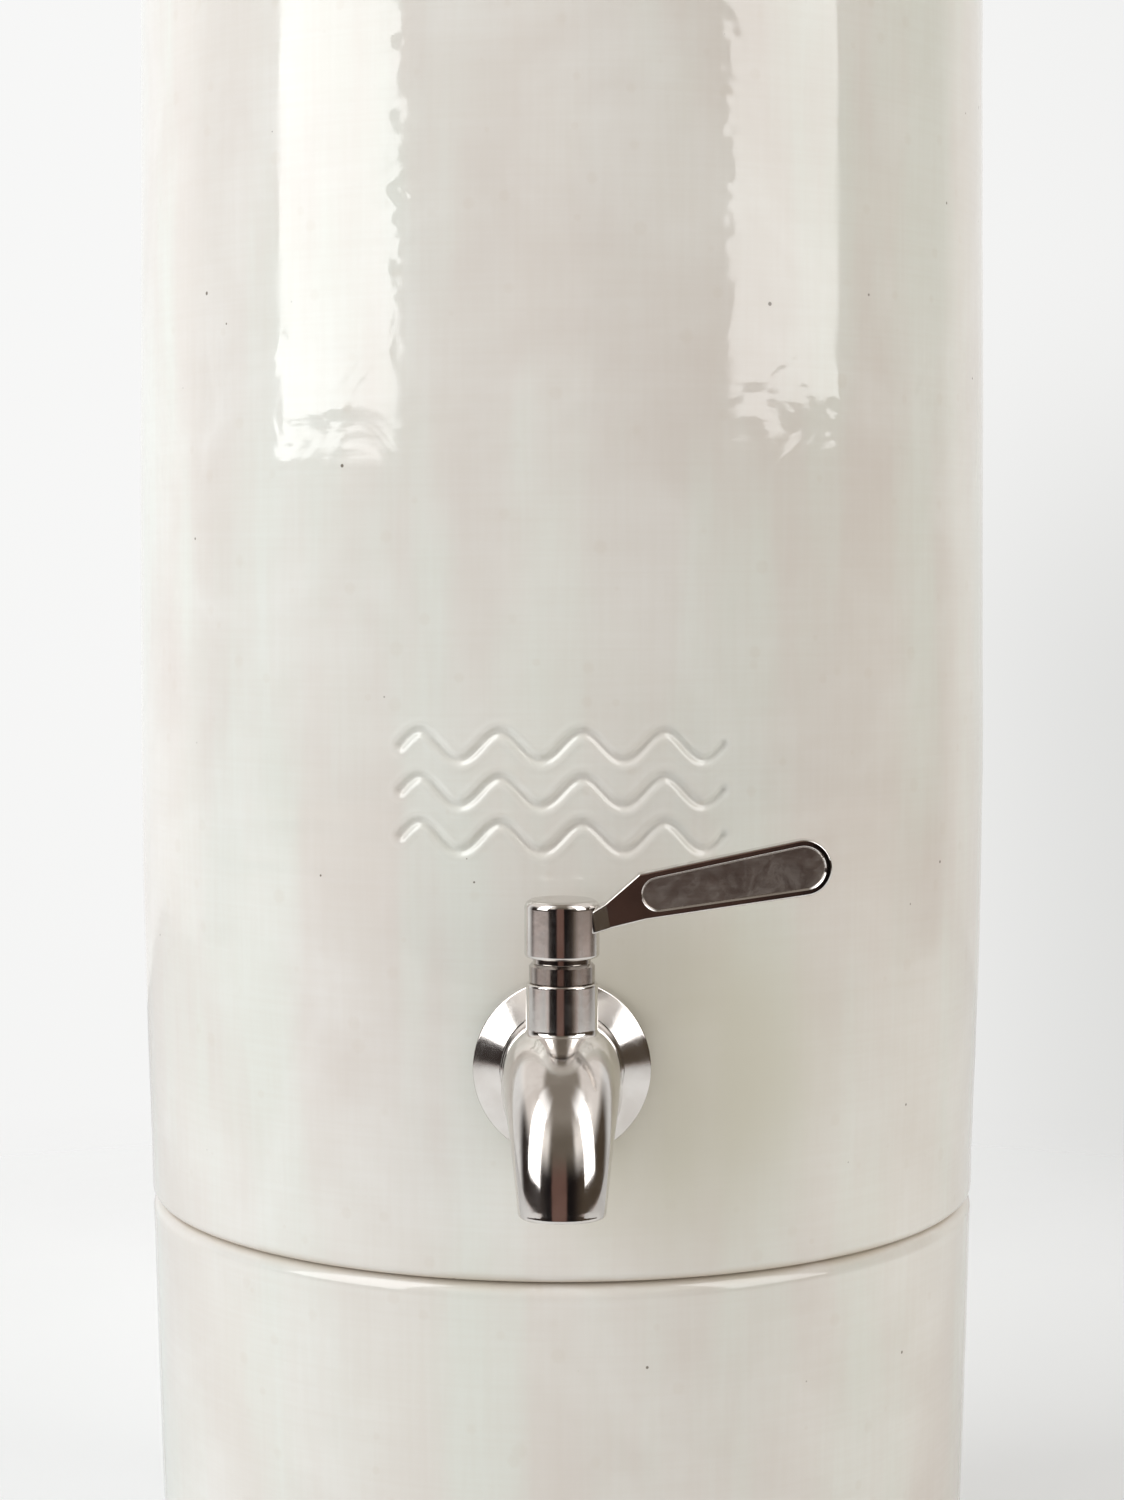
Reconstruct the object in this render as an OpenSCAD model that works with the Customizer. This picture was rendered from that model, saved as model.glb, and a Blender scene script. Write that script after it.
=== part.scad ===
// Gravity water filter: a glazed stoneware crock with a tap stands on a ring-shaped stand.
// A filter vessel with two ceramic candles hangs inside the crock from its rim, under a lid.
// Millimetres, +Z up. The origin is on the crock's axis at the table. The tap faces -Y.

/* [Stand] */
// Height of the stand, from the table to the seam under the crock
stand_h = 150; // [110:5:200]
// Step in from the seam to the stand's outside at the table
stand_taper = 5.5; // [2:0.5:8]
// Thickness of the stand's wall, from its bore to the seam's radius
stand_wall = 17; // [15:0.5:20]
// Width of the stand's rim outside the rebate
stand_lip = 14; // [11:0.5:16]
// Depth of the rebate that centres the crock on the stand
rebate_h = 10; // [9:0.5:14]
// Radius of the stand's rounded top edge
stand_edge_r = 4.5; // [2:0.5:6]

/* [Crock] */
// Height of the crock, from the seam to its rim
crock_h = 420; // [380:5:480]
// Outer radius of the crock at its belly
crock_r = 125; // [120:0.5:140]
// Swell of the crock's wall from the seam out to the belly
crock_swell = 4; // [2.5:0.5:5.5]
// Height above the seam at which the wall reaches the belly radius
swell_h = 150; // [100:10:250]
// Thickness of the crock's wall
crock_wall = 8; // [6.5:0.5:10]
// Thickness of the crock's floor
crock_floor = 10; // [8:0.5:14]
// Radius of the inside corner between the crock's floor and wall
crock_corner_r = 14; // [8:1:20]
// Height of the foot ring that drops into the stand
foot_ring_h = 8; // [5:0.5:12]
// Width of the foot ring
foot_ring_w = 9; // [6:0.5:12]
// Play between the foot ring and the stand's rebate
foot_play = 1; // [0.5:0.25:2]

/* [Filter vessel] */
// Depth of the filter vessel below the crock's rim
vessel_h = 190; // [170:5:210]
// Thickness of the filter vessel's wall
vessel_wall = 6; // [5:0.5:8]
// Thickness of the filter vessel's floor
vessel_floor = 8; // [6:0.5:10]
// Radius of the outside corner between the vessel's floor and wall
vessel_corner_r = 10; // [8:0.5:14]
// Play between the filter vessel and the crock's wall
vessel_play = 4; // [2:0.5:6]
// Play of the candle stems in the vessel's floor
stem_play = 1; // [0.5:0.25:2]
// Thickness of the flange that hangs on the crock's rim
flange_t = 8; // [6:0.5:10]
// Step in from the crock's outside to the flange's edge
flange_step = 1.5; // [0.5:0.5:3]

/* [Lid] */
// Thickness of the lid
lid_t = 7; // [5:0.5:9]
// Rise of the lid from its edge to its middle
lid_rise = 12; // [6:1:20]
// Depth of the ring under the lid that drops into the vessel
lid_ring_h = 12; // [8:1:20]
// Width of the ring under the lid
lid_ring_w = 6; // [4:0.5:8]
// Play between the lid's ring and the vessel
lid_play = 1.5; // [0.75:0.25:3]
// Radius of the knob
knob_r = 20; // [15:0.5:24]
// Height of the knob above the lid
knob_h = 28; // [20:1:34]
// Thickness of the knob's round head
knob_head_t = 14; // [10:0.5:18]
// Radius of the knob's neck
knob_neck_r = 11; // [8:0.5:12.5]
// Radius of the hollow between the knob's neck and the lid
knob_root_r = 5; // [2:0.5:7]

/* [Filter candles] */
// Radius of a candle
candle_r = 25; // [22:0.5:28]
// Height of a candle's ceramic dome
candle_h = 122; // [100:2:140]
// Thickness of the ceramic
candle_wall = 7; // [5:0.5:9]
// Distance of each candle from the crock's axis
candle_offset = 46; // [40:1:60]
// Radius of the carbon core
core_r = 15.5; // [10:0.5:17]
// Height of the carbon core
core_h = 92; // [60:2:96]
// Radius of the hole through the carbon core
core_bore_r = 4.25; // [3:0.25:6]
// Thickness of the plastic mount under a candle
mount_t = 11; // [9:0.5:14]
// Depth of the mount's cup, which holds the dome and the core
cup_d = 4; // [3:0.5:6]
// Wall of the mount's cup
cup_wall = 2; // [1.5:0.25:3]
// Radius of the threaded stem under the mount
stem_r = 5; // [4.5:0.25:6]
// Length of the threaded stem below the mount
stem_l = 34; // [30:1:40]
// Radius of the drip bore through the stem
drip_r = 2.25; // [1.5:0.25:2.5]
// Thickness of the sealing washer under the mount
seal_t = 2.5; // [2:0.25:4]
// Radius of the sealing washer under the mount
seal_out_r = 22; // [18:0.5:24]
// Height of the wing nut's hub
wing_hub_h = 10; // [8:0.5:12]
// Radius of the wing nut's hub
wing_hub_r = 9; // [8:0.25:10]
// Radius of the wing nut's collar, which bears on the vessel's floor
wing_collar_r = 13; // [11:0.5:15]
// Thickness of the wing nut's collar
wing_collar_t = 2.5; // [2:0.25:4]
// Thickness of a wing
wing_t = 3; // [2:0.25:4]
// Span of the wing nut over its wings
wing_span = 42; // [36:1:50]
// Radius of a wing's round end
wing_tip_r = 6; // [4:0.5:7]

/* [Tap] */
// Height of the tap hole's centre above the seam
tap_h = 55.5; // [48:0.5:80]
// Radius of the threaded shank
shank_r = 7.85; // [7.5:0.05:8.5]
// Play between the shank and the hole in the wall
hole_play = 0.65; // [0.4:0.05:1]
// Radius of the escutcheon plate
plate_r = 22.5; // [20:0.5:25]
// Thickness of the escutcheon plate at its hub
plate_t = 4.6; // [4.4:0.2:6]
// Thickness of the outer silicone washer
outer_washer_t = 3; // [2.5:0.25:4]
// Fall of the plate from its hub to its rim
plate_fall = 2.8; // [1:0.1:3]
// Radius of the outer silicone washer
outer_washer_r = 17; // [14:0.5:18]
// Gap between the crock and the top of the escutcheon's back
plate_gap = 0.3; // [0.2:0.05:1]
// Thickness of the inner silicone washer
inner_washer_t = 2.5; // [2:0.25:4]
// Thickness of the steel washer under the nut
steel_washer_t = 1.5; // [1:0.25:2.5]
// Radius of the inner silicone washer and of the steel washer
inner_washer_r = 14; // [12:0.5:16]
// Width of the lock nut across its flats
nut_flats = 24; // [21:0.5:26]
// Height of the lock nut
nut_h = 8; // [6:0.5:12]
// Length of shank that stands out past the nut
shank_spare = 6; // [2:0.5:12]
// Radius of the water way through the shank
water_r = 4.5; // [3.5:0.25:5]
// Depth of the pocket for the seal round the valve's inlet
port_seal_l = 3; // [2:0.25:4]
// Wall of the seal round the valve's inlet
port_seal_w = 1.2; // [1:0.1:1.5]

/* [Tap body] */
// Radius of the body behind the bend
body_r = 14.7; // [14:0.1:16]
// Length of the straight body, from the plate to the bend
body_l = 22; // [20:0.1:26]
// Width of the lip round the body's foot, against the plate
foot_lip = 2.1; // [1:0.1:2.5]
// Thickness of the lip
foot_lip_t = 0.8; // [0.5:0.1:1.5]
// Radius of the hollow between the lip and the body
foot_hollow = 1.4; // [0.5:0.1:1.8]
// Radius of the bend's centre line
bend_r = 28; // [25:0.5:30]
// Angle of the bend
bend_a = 80; // [74:1:84]
// Length of the nose below the bend
nose_l = 1; // [0.5:0.5:4]
// Angle at which the mouth is cut: 90 is level
mouth_a = 88; // [80:1:90]
// Outer radius of the spout at its mouth
mouth_r = 10.2; // [9.6:0.1:11]
// Radius of the bore in the mouth
outlet_r = 7.2; // [6:0.1:7.8]
// Depth of the bore in the mouth
outlet_l = 10; // [8:0.5:14]
// Distance from the plate to the barrel's axis
barrel_out = 22.3; // [20:0.1:25]
// Outer radius of the barrel
barrel_r = 8.7; // [8.4:0.1:9.5]
// Height of the barrel's top above the shank's axis
barrel_h = 25.7; // [24:0.1:30]
// Radius of the hollow where the barrel grows out of the body
root_r = 1.2; // [1:0.1:4]
// Radius of the water way from the chamber's floor to the mouth
way_r = 3.6; // [2.5:0.1:4]

/* [Valve] */
// Radius of the valve chamber in the barrel
chamber_r = 6.3; // [6:0.1:6.8]
// Depth of the chamber below the shank's axis
chamber_low = 8; // [6:0.5:9]
// Radial running clearance of the turning pieces
run_play = 0.05; // [0.03:0.01:0.08]
// Height of the valve plug's top above the shank's axis
plug_top = 14; // [12:0.5:15]
// Radius of the port through the valve plug
port_r = 3.6; // [3:0.1:4]
// Depth of the spindle's tongue in the valve plug
tongue_d = 2.5; // [2:0.1:3.5]
// Width of the spindle's tongue
tongue_w = 3; // [2:0.1:4]
// Radius of the spindle
spindle_r = 4; // [3.5:0.1:4.5]
// Height of the bonnet ring above the barrel
bonnet_h = 4.7; // [3.5:0.1:7]
// Outer radius of the bonnet ring
bonnet_r = 8; // [7.6:0.1:8.6]
// Outer radius of the bonnet's neck
neck_r = 7; // [6.4:0.1:7.4]
// Height of the bonnet's neck
neck_h = 2.1; // [1.5:0.1:4]
// Radius of an O-ring's cord
o_ring_cord_r = 0.9; // [0.7:0.05:1.1]

/* [Lever] */
// Gap between the bonnet and the lever's hub
hub_gap = 0.3; // [0.2:0.05:0.6]
// Outer radius of the lever's hub
hub_r = 9.1; // [8.6:0.1:10]
// Height of the lever's hub
hub_h = 13; // [12:0.5:16]
// Reach of the lever from the hub's axis to the tip's centre
lever_l = 59.3; // [50:0.1:75]
// Rise of the lever above level
lever_rise = 10.2; // [0:0.2:20]
// Distance from the hub's top down to the lever's middle line, at the hub's axis
lever_drop = 2.8; // [2:0.2:5]
// Thickness of the lever's blade
blade_t = 4.6; // [4:0.1:6]
// Half the blade's width at its tip
blade_tip_r = 6.8; // [6:0.1:8]
// Half the blade's width where the neck ends
blade_root_r = 5.6; // [5:0.1:6]
// Width of the lever's root where it leaves the hub
neck_w = 11; // [8:0.5:14]
// Distance from the hub's axis to the blade's shoulder
blade_start = 19.5; // [18:0.5:26]
// Depth of the panel sunk into each face of the blade
panel_d = 0.6; // [0.3:0.1:1]
// Width of the border round the panel
panel_border = 1.4; // [1:0.1:2.5]
// Rounding of the hub's top edge
hub_edge = 2; // [0.8:0.1:3]
// Thickness of the hub's closed top
hub_top_t = 3; // [2:0.25:4]
// Radius of the grub screw
grub_r = 2; // [1.5:0.25:2.5]
// Height of the grub screw's axis above the hub's bottom
grub_rise = 5.5; // [4:0.25:7]
// Depth of the flat that the grub screw bears on
flat_d = 0.8; // [0.4:0.1:1]

/* [Hidden] */
$fn = 96;
fit = 0.05;          // radial play of a screwed or pressed fit
soft_gap = 0.3;      // space that a soft piece keeps from a moving one
edge = 2.5;          // rounding of a glazed edge
soft_edge = 1.5;     // rounding of a glazed inner edge
fine_edge = 0.8;     // rounding of a polished steel edge
profile_steps = 14;  // straight stretches in a curved wall
loft_sides = 36;     // sides of a lofted ring
loft_rings = 14;     // rings along the spout

glaze = [0.87, 0.85, 0.81];
bare_clay = [0.80, 0.74, 0.66];
filter_clay = [0.95, 0.94, 0.91];
steel = [0.75, 0.75, 0.76];
carbon = [0.12, 0.12, 0.13];
plastic = [0.92, 0.92, 0.90];
silicone = [0.85, 0.86, 0.87];
black_rubber = [0.10, 0.10, 0.10];

// ---- Heights and places that several pieces share ----
seam_z = stand_h;
rim_z = seam_z + crock_h;
crock_seam_r = crock_r - crock_swell;
stand_foot_r = crock_seam_r - stand_taper;
stand_bore_r = crock_seam_r - stand_wall;
rebate_r = crock_seam_r - stand_lip;
foot_ring_r = rebate_r - foot_play;
vessel_floor_z = rim_z - vessel_h + vessel_floor;
vessel_r = crock_r - crock_wall - vessel_play;
vessel_in_r = vessel_r - vessel_wall;
flange_r = crock_r - flange_step;
flange_top_z = rim_z + flange_t;
mount_z = vessel_floor_z + seal_t;
cup_z = mount_z + mount_t - cup_d;
mount_r = candle_r + cup_wall;
tap_z = seam_z + tap_h;

// ---- Outline helpers ----
// Points on an arc from angle a0 to angle a1
function arc(cx, cy, r, a0, a1, n = 6) =
    [for (i = [0:n]) let (a = a0 + (a1 - a0) * i / n) [cx + r * cos(a), cy + r * sin(a)]];

// Outline round two circles on the X axis and the tangents that join them
function capsule(x1, r1, x2, r2, n = 14) =
    let (lean = asin((r2 - r1) / (x2 - x1)))
    concat(arc(x2, 0, r2, -90 - lean, 90 + lean, n), arc(x1, 0, r1, 90 + lean, 270 - lean, n));

// Closed solid through rings of equal count, with a flat cap at each end
module loft(rings) {
    n = len(rings[0]);
    last = len(rings) - 1;
    polyhedron(
        points = [for (ring = rings) each ring],
        faces = concat(
            [[for (i = [0:n - 1]) i]],
            [for (j = [0:last - 1], i = [0:n - 1])
                [j * n + i, (j + 1) * n + i, (j + 1) * n + (i + 1) % n, j * n + (i + 1) % n]],
            [[for (i = [n - 1:-1:0]) last * n + i]]));
}

// Flat ring with a bore
module washer(r_out, r_in, t) {
    difference() {
        cylinder(r = r_out, h = t);
        translate([0, 0, -1]) cylinder(r = r_in, h = t + 2);
    }
}

// ---- Stand ----
// Outer radius of the stand at a height above the table
function stand_out(z) =
    stand_foot_r + (crock_seam_r - stand_foot_r) * (1 - pow(1 - z / stand_h, 1.3));

module stand() {
    top_r = stand_out(stand_h - stand_edge_r);
    low = edge;
    high = stand_h - stand_edge_r;
    color(glaze)
    rotate_extrude()
        polygon(concat(
            [[stand_bore_r, 0]],
            arc(stand_out(low) - edge, edge, edge, -90, 0),
            [for (i = [1:profile_steps - 1])
                let (z = low + (high - low) * i / profile_steps) [stand_out(z), z]],
            arc(top_r - stand_edge_r, high, stand_edge_r, 0, 90),
            arc(rebate_r + soft_edge, stand_h - soft_edge, soft_edge, 90, 180, 4),
            [[rebate_r, stand_h - rebate_h], [stand_bore_r, stand_h - rebate_h]]));
}

// ---- Crock ----
// Outer radius of the crock at a height above the seam
function crock_out(z) =
    crock_seam_r + (crock_r - crock_seam_r) * sin(90 * min(1, max(0, z) / swell_h));
function crock_in(z) = crock_out(z) - crock_wall;

// Planes against which the tap's washers seat, as distances from the crock's axis
seat_play = 1;
seat_r = outer_washer_r + seat_play;
outer_seat = crock_out(tap_h + plate_r) + plate_gap - outer_washer_t;
inner_seat = crock_in(tap_h + inner_washer_r + seat_play);

module crock_profile() {
    floor_in = crock_in(crock_floor + crock_corner_r);
    swell = [for (i = [1:profile_steps]) edge + (swell_h - edge) * i / profile_steps];
    rim_edge = min(edge, crock_wall / 2 - 1);
    polygon(concat(
        // recess under the floor and the foot ring
        [[0, 0], [foot_ring_r - foot_ring_w, 0]],
        arc(foot_ring_r - foot_ring_w + soft_edge, soft_edge - foot_ring_h, soft_edge, 180, 270, 4),
        arc(foot_ring_r - soft_edge, soft_edge - foot_ring_h, soft_edge, 270, 360, 4),
        [[foot_ring_r, 0]],
        // outside, up to the rim
        arc(crock_out(edge) - edge, edge, edge, -90, 0),
        [for (z = swell) [crock_out(z), z]],
        arc(crock_r - rim_edge, crock_h - rim_edge, rim_edge, 0, 90),
        arc(crock_r - crock_wall + rim_edge, crock_h - rim_edge, rim_edge, 90, 180),
        // inside, down to the floor
        [for (i = [len(swell) - 1:-1:0]) let (z = swell[i])
            if (z > crock_floor + crock_corner_r + 1) [crock_in(z), z]],
        arc(floor_in - crock_corner_r, crock_floor + crock_corner_r, crock_corner_r, 0, -90),
        [[0, crock_floor]]));
}

module crock() {
    color(glaze)
    difference() {
        translate([0, 0, seam_z]) rotate_extrude() crock_profile();
        on_tap_axis(0) cylinder(r = shank_r + hole_play, h = crock_r + 10);
        on_tap_axis(outer_seat) cylinder(r = seat_r, h = crock_wall);
        on_tap_axis(crock_r / 2) cylinder(r = inner_washer_r + seat_play, h = inner_seat - crock_r / 2);
    }
}

// ---- Filter vessel, which hangs on the crock's rim ----
module filter_vessel() {
    rim_edge = min(edge, flange_t / 2 - 1);
    corner_in_r = vessel_corner_r - soft_edge;
    color(glaze)
    difference() {
        translate([0, 0, rim_z]) rotate_extrude()
            polygon(concat(
                [[0, -vessel_h]],
                arc(vessel_r - vessel_corner_r, vessel_corner_r - vessel_h, vessel_corner_r, -90, 0),
                [[vessel_r, 0]],
                arc(flange_r - rim_edge, rim_edge, rim_edge, -90, 0),
                arc(flange_r - rim_edge, flange_t - rim_edge, rim_edge, 0, 90),
                arc(vessel_in_r + soft_edge, flange_t - soft_edge, soft_edge, 90, 180, 4),
                arc(vessel_in_r - corner_in_r, vessel_floor - vessel_h + corner_in_r, corner_in_r, 0, -90),
                [[0, vessel_floor - vessel_h]]));
        for (side = [-1, 1])
            at_candle(side, rim_z - vessel_h - 1) cylinder(r = stem_r + stem_play, h = vessel_floor + 2);
    }
}

// ---- Lid with its thrown knob ----
// Rise of the lid above its edge, at a radius
function lid_top(r) = lid_rise * (1 - pow(r / flange_r, 2));

module lid() {
    edge_r = min(edge, lid_t / 2);
    ring_r = vessel_in_r - lid_play;
    ring_in_r = ring_r - lid_ring_w;
    base = lid_t + lid_rise;
    root_out = knob_neck_r + knob_root_r;
    head_r = knob_head_t / 2;
    color(glaze)
    translate([0, 0, flange_top_z]) rotate_extrude()
        polygon(concat(
            // hollow underside, inside the ring
            [for (i = [0:6]) let (r = ring_in_r * i / 6) [r, lid_top(r) - lid_top(ring_in_r)]],
            arc(ring_in_r + soft_edge, soft_edge - lid_ring_h, soft_edge, 180, 270, 4),
            arc(ring_r - soft_edge, soft_edge - lid_ring_h, soft_edge, 270, 360, 4),
            [[ring_r, 0]],
            // edge and domed top
            arc(flange_r - edge_r, edge_r, edge_r, -90, 0),
            arc(flange_r - edge_r, lid_t - edge_r, edge_r, 0, 90),
            [for (i = [1:profile_steps - 1])
                let (r = flange_r - edge_r + (root_out - flange_r + edge_r) * i / profile_steps)
                [r, lid_t + lid_top(r)]],
            // knob: hollow root, neck, round head
            arc(root_out, base + knob_root_r, knob_root_r, 270, 180),
            [[knob_neck_r, base + knob_h - knob_head_t]],
            arc(knob_r - head_r, base + knob_h - head_r, head_r, -90, 90, 10),
            [[0, base + knob_h]]));
}

// ---- Filter candles, one on each side ----
module at_candle(side, z) {
    translate([side * candle_offset, 0, z]) children();
}

// Hollow dome of filter ceramic, glued into the mount
module ceramic_dome(side) {
    in_r = candle_r - candle_wall;
    straight = candle_h - candle_r;
    color(filter_clay)
    at_candle(side, cup_z) rotate_extrude()
        polygon(concat(
            [[candle_r, 0]],
            arc(0, straight, candle_r, 0, 90, 12),
            arc(0, straight, in_r, 90, 0, 12),
            [[in_r, 0]]));
}

// Block of pressed carbon that stands inside the dome
module carbon_core(side) {
    color(carbon)
    at_candle(side, cup_z) washer(core_r, core_bore_r, core_h);
}

// Plastic mount: a cup that holds the dome, and the threaded stem
module candle_mount(side) {
    chamfer = 3;
    color(plastic)
    at_candle(side, mount_z) difference() {
        union() {
            rotate_extrude()
                polygon(concat(
                    [[0, 0]],
                    [[mount_r - chamfer, 0]],
                    [[mount_r, chamfer]],
                    arc(mount_r - fine_edge, mount_t - fine_edge, fine_edge, 0, 90, 3),
                    [[0, mount_t]]));
            translate([0, 0, -stem_l]) cylinder(r = stem_r, h = stem_l);
        }
        translate([0, 0, mount_t - cup_d]) cylinder(r = candle_r + fit, h = cup_d + 1);
        translate([0, 0, -stem_l - 1]) cylinder(r = drip_r, h = stem_l + mount_t + 2);
    }
}

module mount_seal(side) {
    color(silicone)
    at_candle(side, vessel_floor_z) washer(seal_out_r, stem_r + fit, seal_t);
}

// Wing nut that draws the mount down from under the vessel's floor
module wing_nut(side) {
    shoulder = wing_hub_h - wing_collar_t;
    color(plastic)
    at_candle(side, rim_z - vessel_h - wing_hub_h) difference() {
        union() {
            cylinder(r = wing_hub_r, h = wing_hub_h);
            translate([0, 0, shoulder]) cylinder(r = wing_collar_r, h = wing_collar_t);
            rotate([90, 0, 0]) translate([0, 0, -wing_t / 2]) linear_extrude(wing_t)
                for (hand = [-1, 1])
                    polygon(concat(
                        [[0, shoulder], [0, 0]],
                        [for (p = arc(wing_span / 2 - wing_tip_r, wing_tip_r / 2, wing_tip_r, -90, 60, 8))
                            [hand * p[0], p[1]]],
                        [[hand * wing_hub_r, shoulder]]));
        }
        translate([0, 0, -1]) cylinder(r = stem_r + fit, h = wing_hub_h + 2);
    }
}

// ---- Tap ----
// Distances from the crock's axis, along the shank
plate_back = outer_seat + outer_washer_t;
plate_front = plate_back + plate_t;
nut_back = inner_seat - inner_washer_t - steel_washer_t;
shank_end = nut_back - nut_h - shank_spare;
barrel_y = -(plate_front + barrel_out);
lip_r = body_r + foot_lip;
plate_hub_r = lip_r + 0.2;
bonnet_z = tap_z + barrel_h;
hub_z = bonnet_z + bonnet_h + neck_h + hub_gap;

// Turns a piece so that its own Z axis runs out along the shank, from a distance off the axis
module on_tap_axis(distance) {
    translate([0, -distance, tap_z]) rotate([90, 0, 0]) children();
}

// Places a piece on the barrel's axis, at a height above the shank's axis
module on_barrel(height) {
    translate([0, barrel_y, tap_z + height]) children();
}

module outer_washer() {
    color(silicone)
    on_tap_axis(outer_seat) washer(outer_washer_r, shank_r + fit, outer_washer_t);
}

module inner_washer() {
    color(silicone)
    on_tap_axis(inner_seat - inner_washer_t) washer(inner_washer_r, shank_r + fit, inner_washer_t);
}

module steel_washer() {
    color(steel)
    on_tap_axis(nut_back) washer(inner_washer_r, shank_r + fit, steel_washer_t);
}

module lock_nut() {
    color(steel)
    on_tap_axis(nut_back - nut_h) difference() {
        intersection() {
            cylinder(r = nut_flats / sqrt(3), h = nut_h, $fn = 6);
            // corners turned off at both faces
            rotate_extrude()
                polygon([
                    [0, 0], [nut_flats / 2, 0], [nut_flats * 0.6, nut_flats * 0.05],
                    [nut_flats * 0.6, nut_h - nut_flats * 0.05], [nut_flats / 2, nut_h], [0, nut_h]]);
        }
        translate([0, 0, -1]) cylinder(r = shank_r + fit, h = nut_h + 2);
    }
}

// Polished plate that hides the hole: a cone with a rounded rim, flat where the body's lip seats
module escutcheon() {
    rim_t = plate_t - plate_fall;
    slope = atan(plate_fall / (plate_r - plate_hub_r));
    color(steel)
    on_tap_axis(plate_back) rotate_extrude()
        polygon(concat(
            [[shank_r + fit, 0]],
            arc(plate_r - fine_edge, fine_edge, fine_edge, -90, 0, 4),
            arc(plate_r - fine_edge, rim_t - fine_edge, fine_edge, 0, 90 - slope, 4),
            [[plate_hub_r, plate_t], [shank_r + fit, plate_t]]));
}

// Place and slope of the spout's centre line at a distance from the plate: [forward, up, slope]
bend_len = bend_r * bend_a * PI / 180;
function spout_line(s) =
    let (a = min(bend_a, max(0, s - body_l) / bend_r * 180 / PI), tail = max(0, s - body_l - bend_len))
    [min(s, body_l) + bend_r * sin(a) + tail * cos(a), -bend_r * (1 - cos(a)) - tail * sin(a), a];

// Radius of the spout at a distance from the plate
function spout_r(s) = body_r - (body_r - mouth_r) * max(0, s - body_l) / (bend_len + nose_l);

// Ring of points round the centre line, leaned a little further than the line towards the mouth
function spout_ring(s, r) =
    let (c = spout_line(s), lean = c[2] + (mouth_a - bend_a) * pow(max(0, s - body_l) / (bend_len + nose_l), 2))
    [for (i = [0:loft_sides - 1]) let (t = 360 * i / loft_sides)
        [r * cos(t), -plate_front - c[0] - r * sin(t) * sin(lean), tap_z + c[1] + r * sin(t) * cos(lean)]];

spout_len = body_l + bend_len + nose_l;
mouth = spout_line(spout_len);

module spout_casting() {
    hollow = min(foot_hollow, foot_lip);
    loft(concat(
        [spout_ring(0, lip_r), spout_ring(foot_lip_t, lip_r)],
        [for (k = [0:4])
            let (a = 22.5 * k)
            spout_ring(foot_lip_t + hollow * (1 - cos(a)), body_r + hollow * (1 - sin(a)))],
        [for (i = [0:loft_rings])
            let (s = body_l + (bend_len + nose_l - fine_edge) * i / loft_rings) spout_ring(s, spout_r(s))],
        [spout_ring(spout_len, mouth_r - fine_edge)]));
}

// Height of the casting's top surface above the shank's axis, at a distance out from the plate
// and a distance to one side
function crown(out, side) =
    let (past = max(0, out - body_l), a = asin(past / (bend_r + body_r)),
        r = spout_r(body_l + bend_r * a * PI / 180), reach = bend_r + sqrt(pow(r, 2) - pow(side, 2)))
    sqrt(pow(reach, 2) - pow(past, 2)) - bend_r;

// Hollow collar that runs from the casting's top surface up into the barrel
module barrel_root() {
    sunk = 0.25;
    steps = 5;
    round_ring = function (r, height)
        [for (i = [0:loft_sides - 1]) let (a = 360 * i / loft_sides, x = r * cos(a), y = r * sin(a))
            [x, y, height(x, y)]];
    root_ring = function (t) round_ring(
        barrel_r - sunk + (root_r + sunk) * (1 - sin(t)),
        function (x, y) crown(barrel_out - y, x) + root_r * (1 - cos(t)) - sunk);
    on_barrel(0) loft(concat(
        [round_ring(barrel_r, function (x, y) 1)],
        [for (k = [0:steps]) root_ring(90 * k / steps)],
        [round_ring(barrel_r - 1, function (x, y) body_r + root_r)]));
}

// One casting: shank, body, bent spout and upright barrel, drilled for the water and the valve
module tap_body() {
    color(steel)
    difference() {
        union() {
            on_tap_axis(shank_end) cylinder(r = shank_r, h = plate_front - shank_end + 2);
            spout_casting();
            barrel_root();
            on_barrel(0) cylinder(r = barrel_r, h = barrel_h);
        }
        on_tap_axis(shank_end - 1) cylinder(r = water_r, h = -barrel_y - shank_end + 1);
        on_barrel(-chamber_low) cylinder(r = chamber_r, h = barrel_h + chamber_low + 1);
        // pocket for the seal round the chamber's inlet
        on_tap_axis(seal_start) cylinder(r = seal_r, h = port_seal_l + chamber_r);
        // round-ended way down from the chamber into the mouth
        on_barrel(-way_top) rotate([way_tilt, 0, 0]) {
            sphere(r = way_r);
            translate([0, 0, -way_l]) cylinder(r = way_r, h = way_l);
            translate([0, 0, -way_l]) sphere(r = way_r);
        }
        at_mouth() translate([0, 0, -1]) cylinder(r = outlet_r, h = outlet_l + 1);
    }
}

// Places a piece at the mouth, with its own Z axis running back up the spout
module at_mouth() {
    translate([0, -(plate_front + mouth[0]), tap_z + mouth[1]]) rotate([mouth_a - 90, 0, 0]) children();
}

// Seal round the inlet, and the water way from the chamber's floor to the end of the mouth's bore
seal_r = water_r + port_seal_w;
seal_start = -barrel_y - chamber_r - port_seal_l;
way_top = chamber_low - way_r / 2;
outlet_end = [
    mouth[0] - outlet_l * cos(mouth_a) * 0.9,
    mouth[1] + outlet_l * sin(mouth_a) * 0.9];
way_run = outlet_end[0] - barrel_out;
way_fall = -outlet_end[1] - way_top;
way_l = sqrt(pow(way_run, 2) + pow(way_fall, 2));
way_tilt = -atan2(way_run, way_fall);

module port_seal() {
    color(black_rubber)
    difference() {
        on_tap_axis(seal_start) washer(seal_r - fit, water_r, port_seal_l + chamber_r / 4);
        on_barrel(-chamber_low) cylinder(r = plug_r + soft_gap, h = 2 * chamber_low);
    }
}

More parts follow.
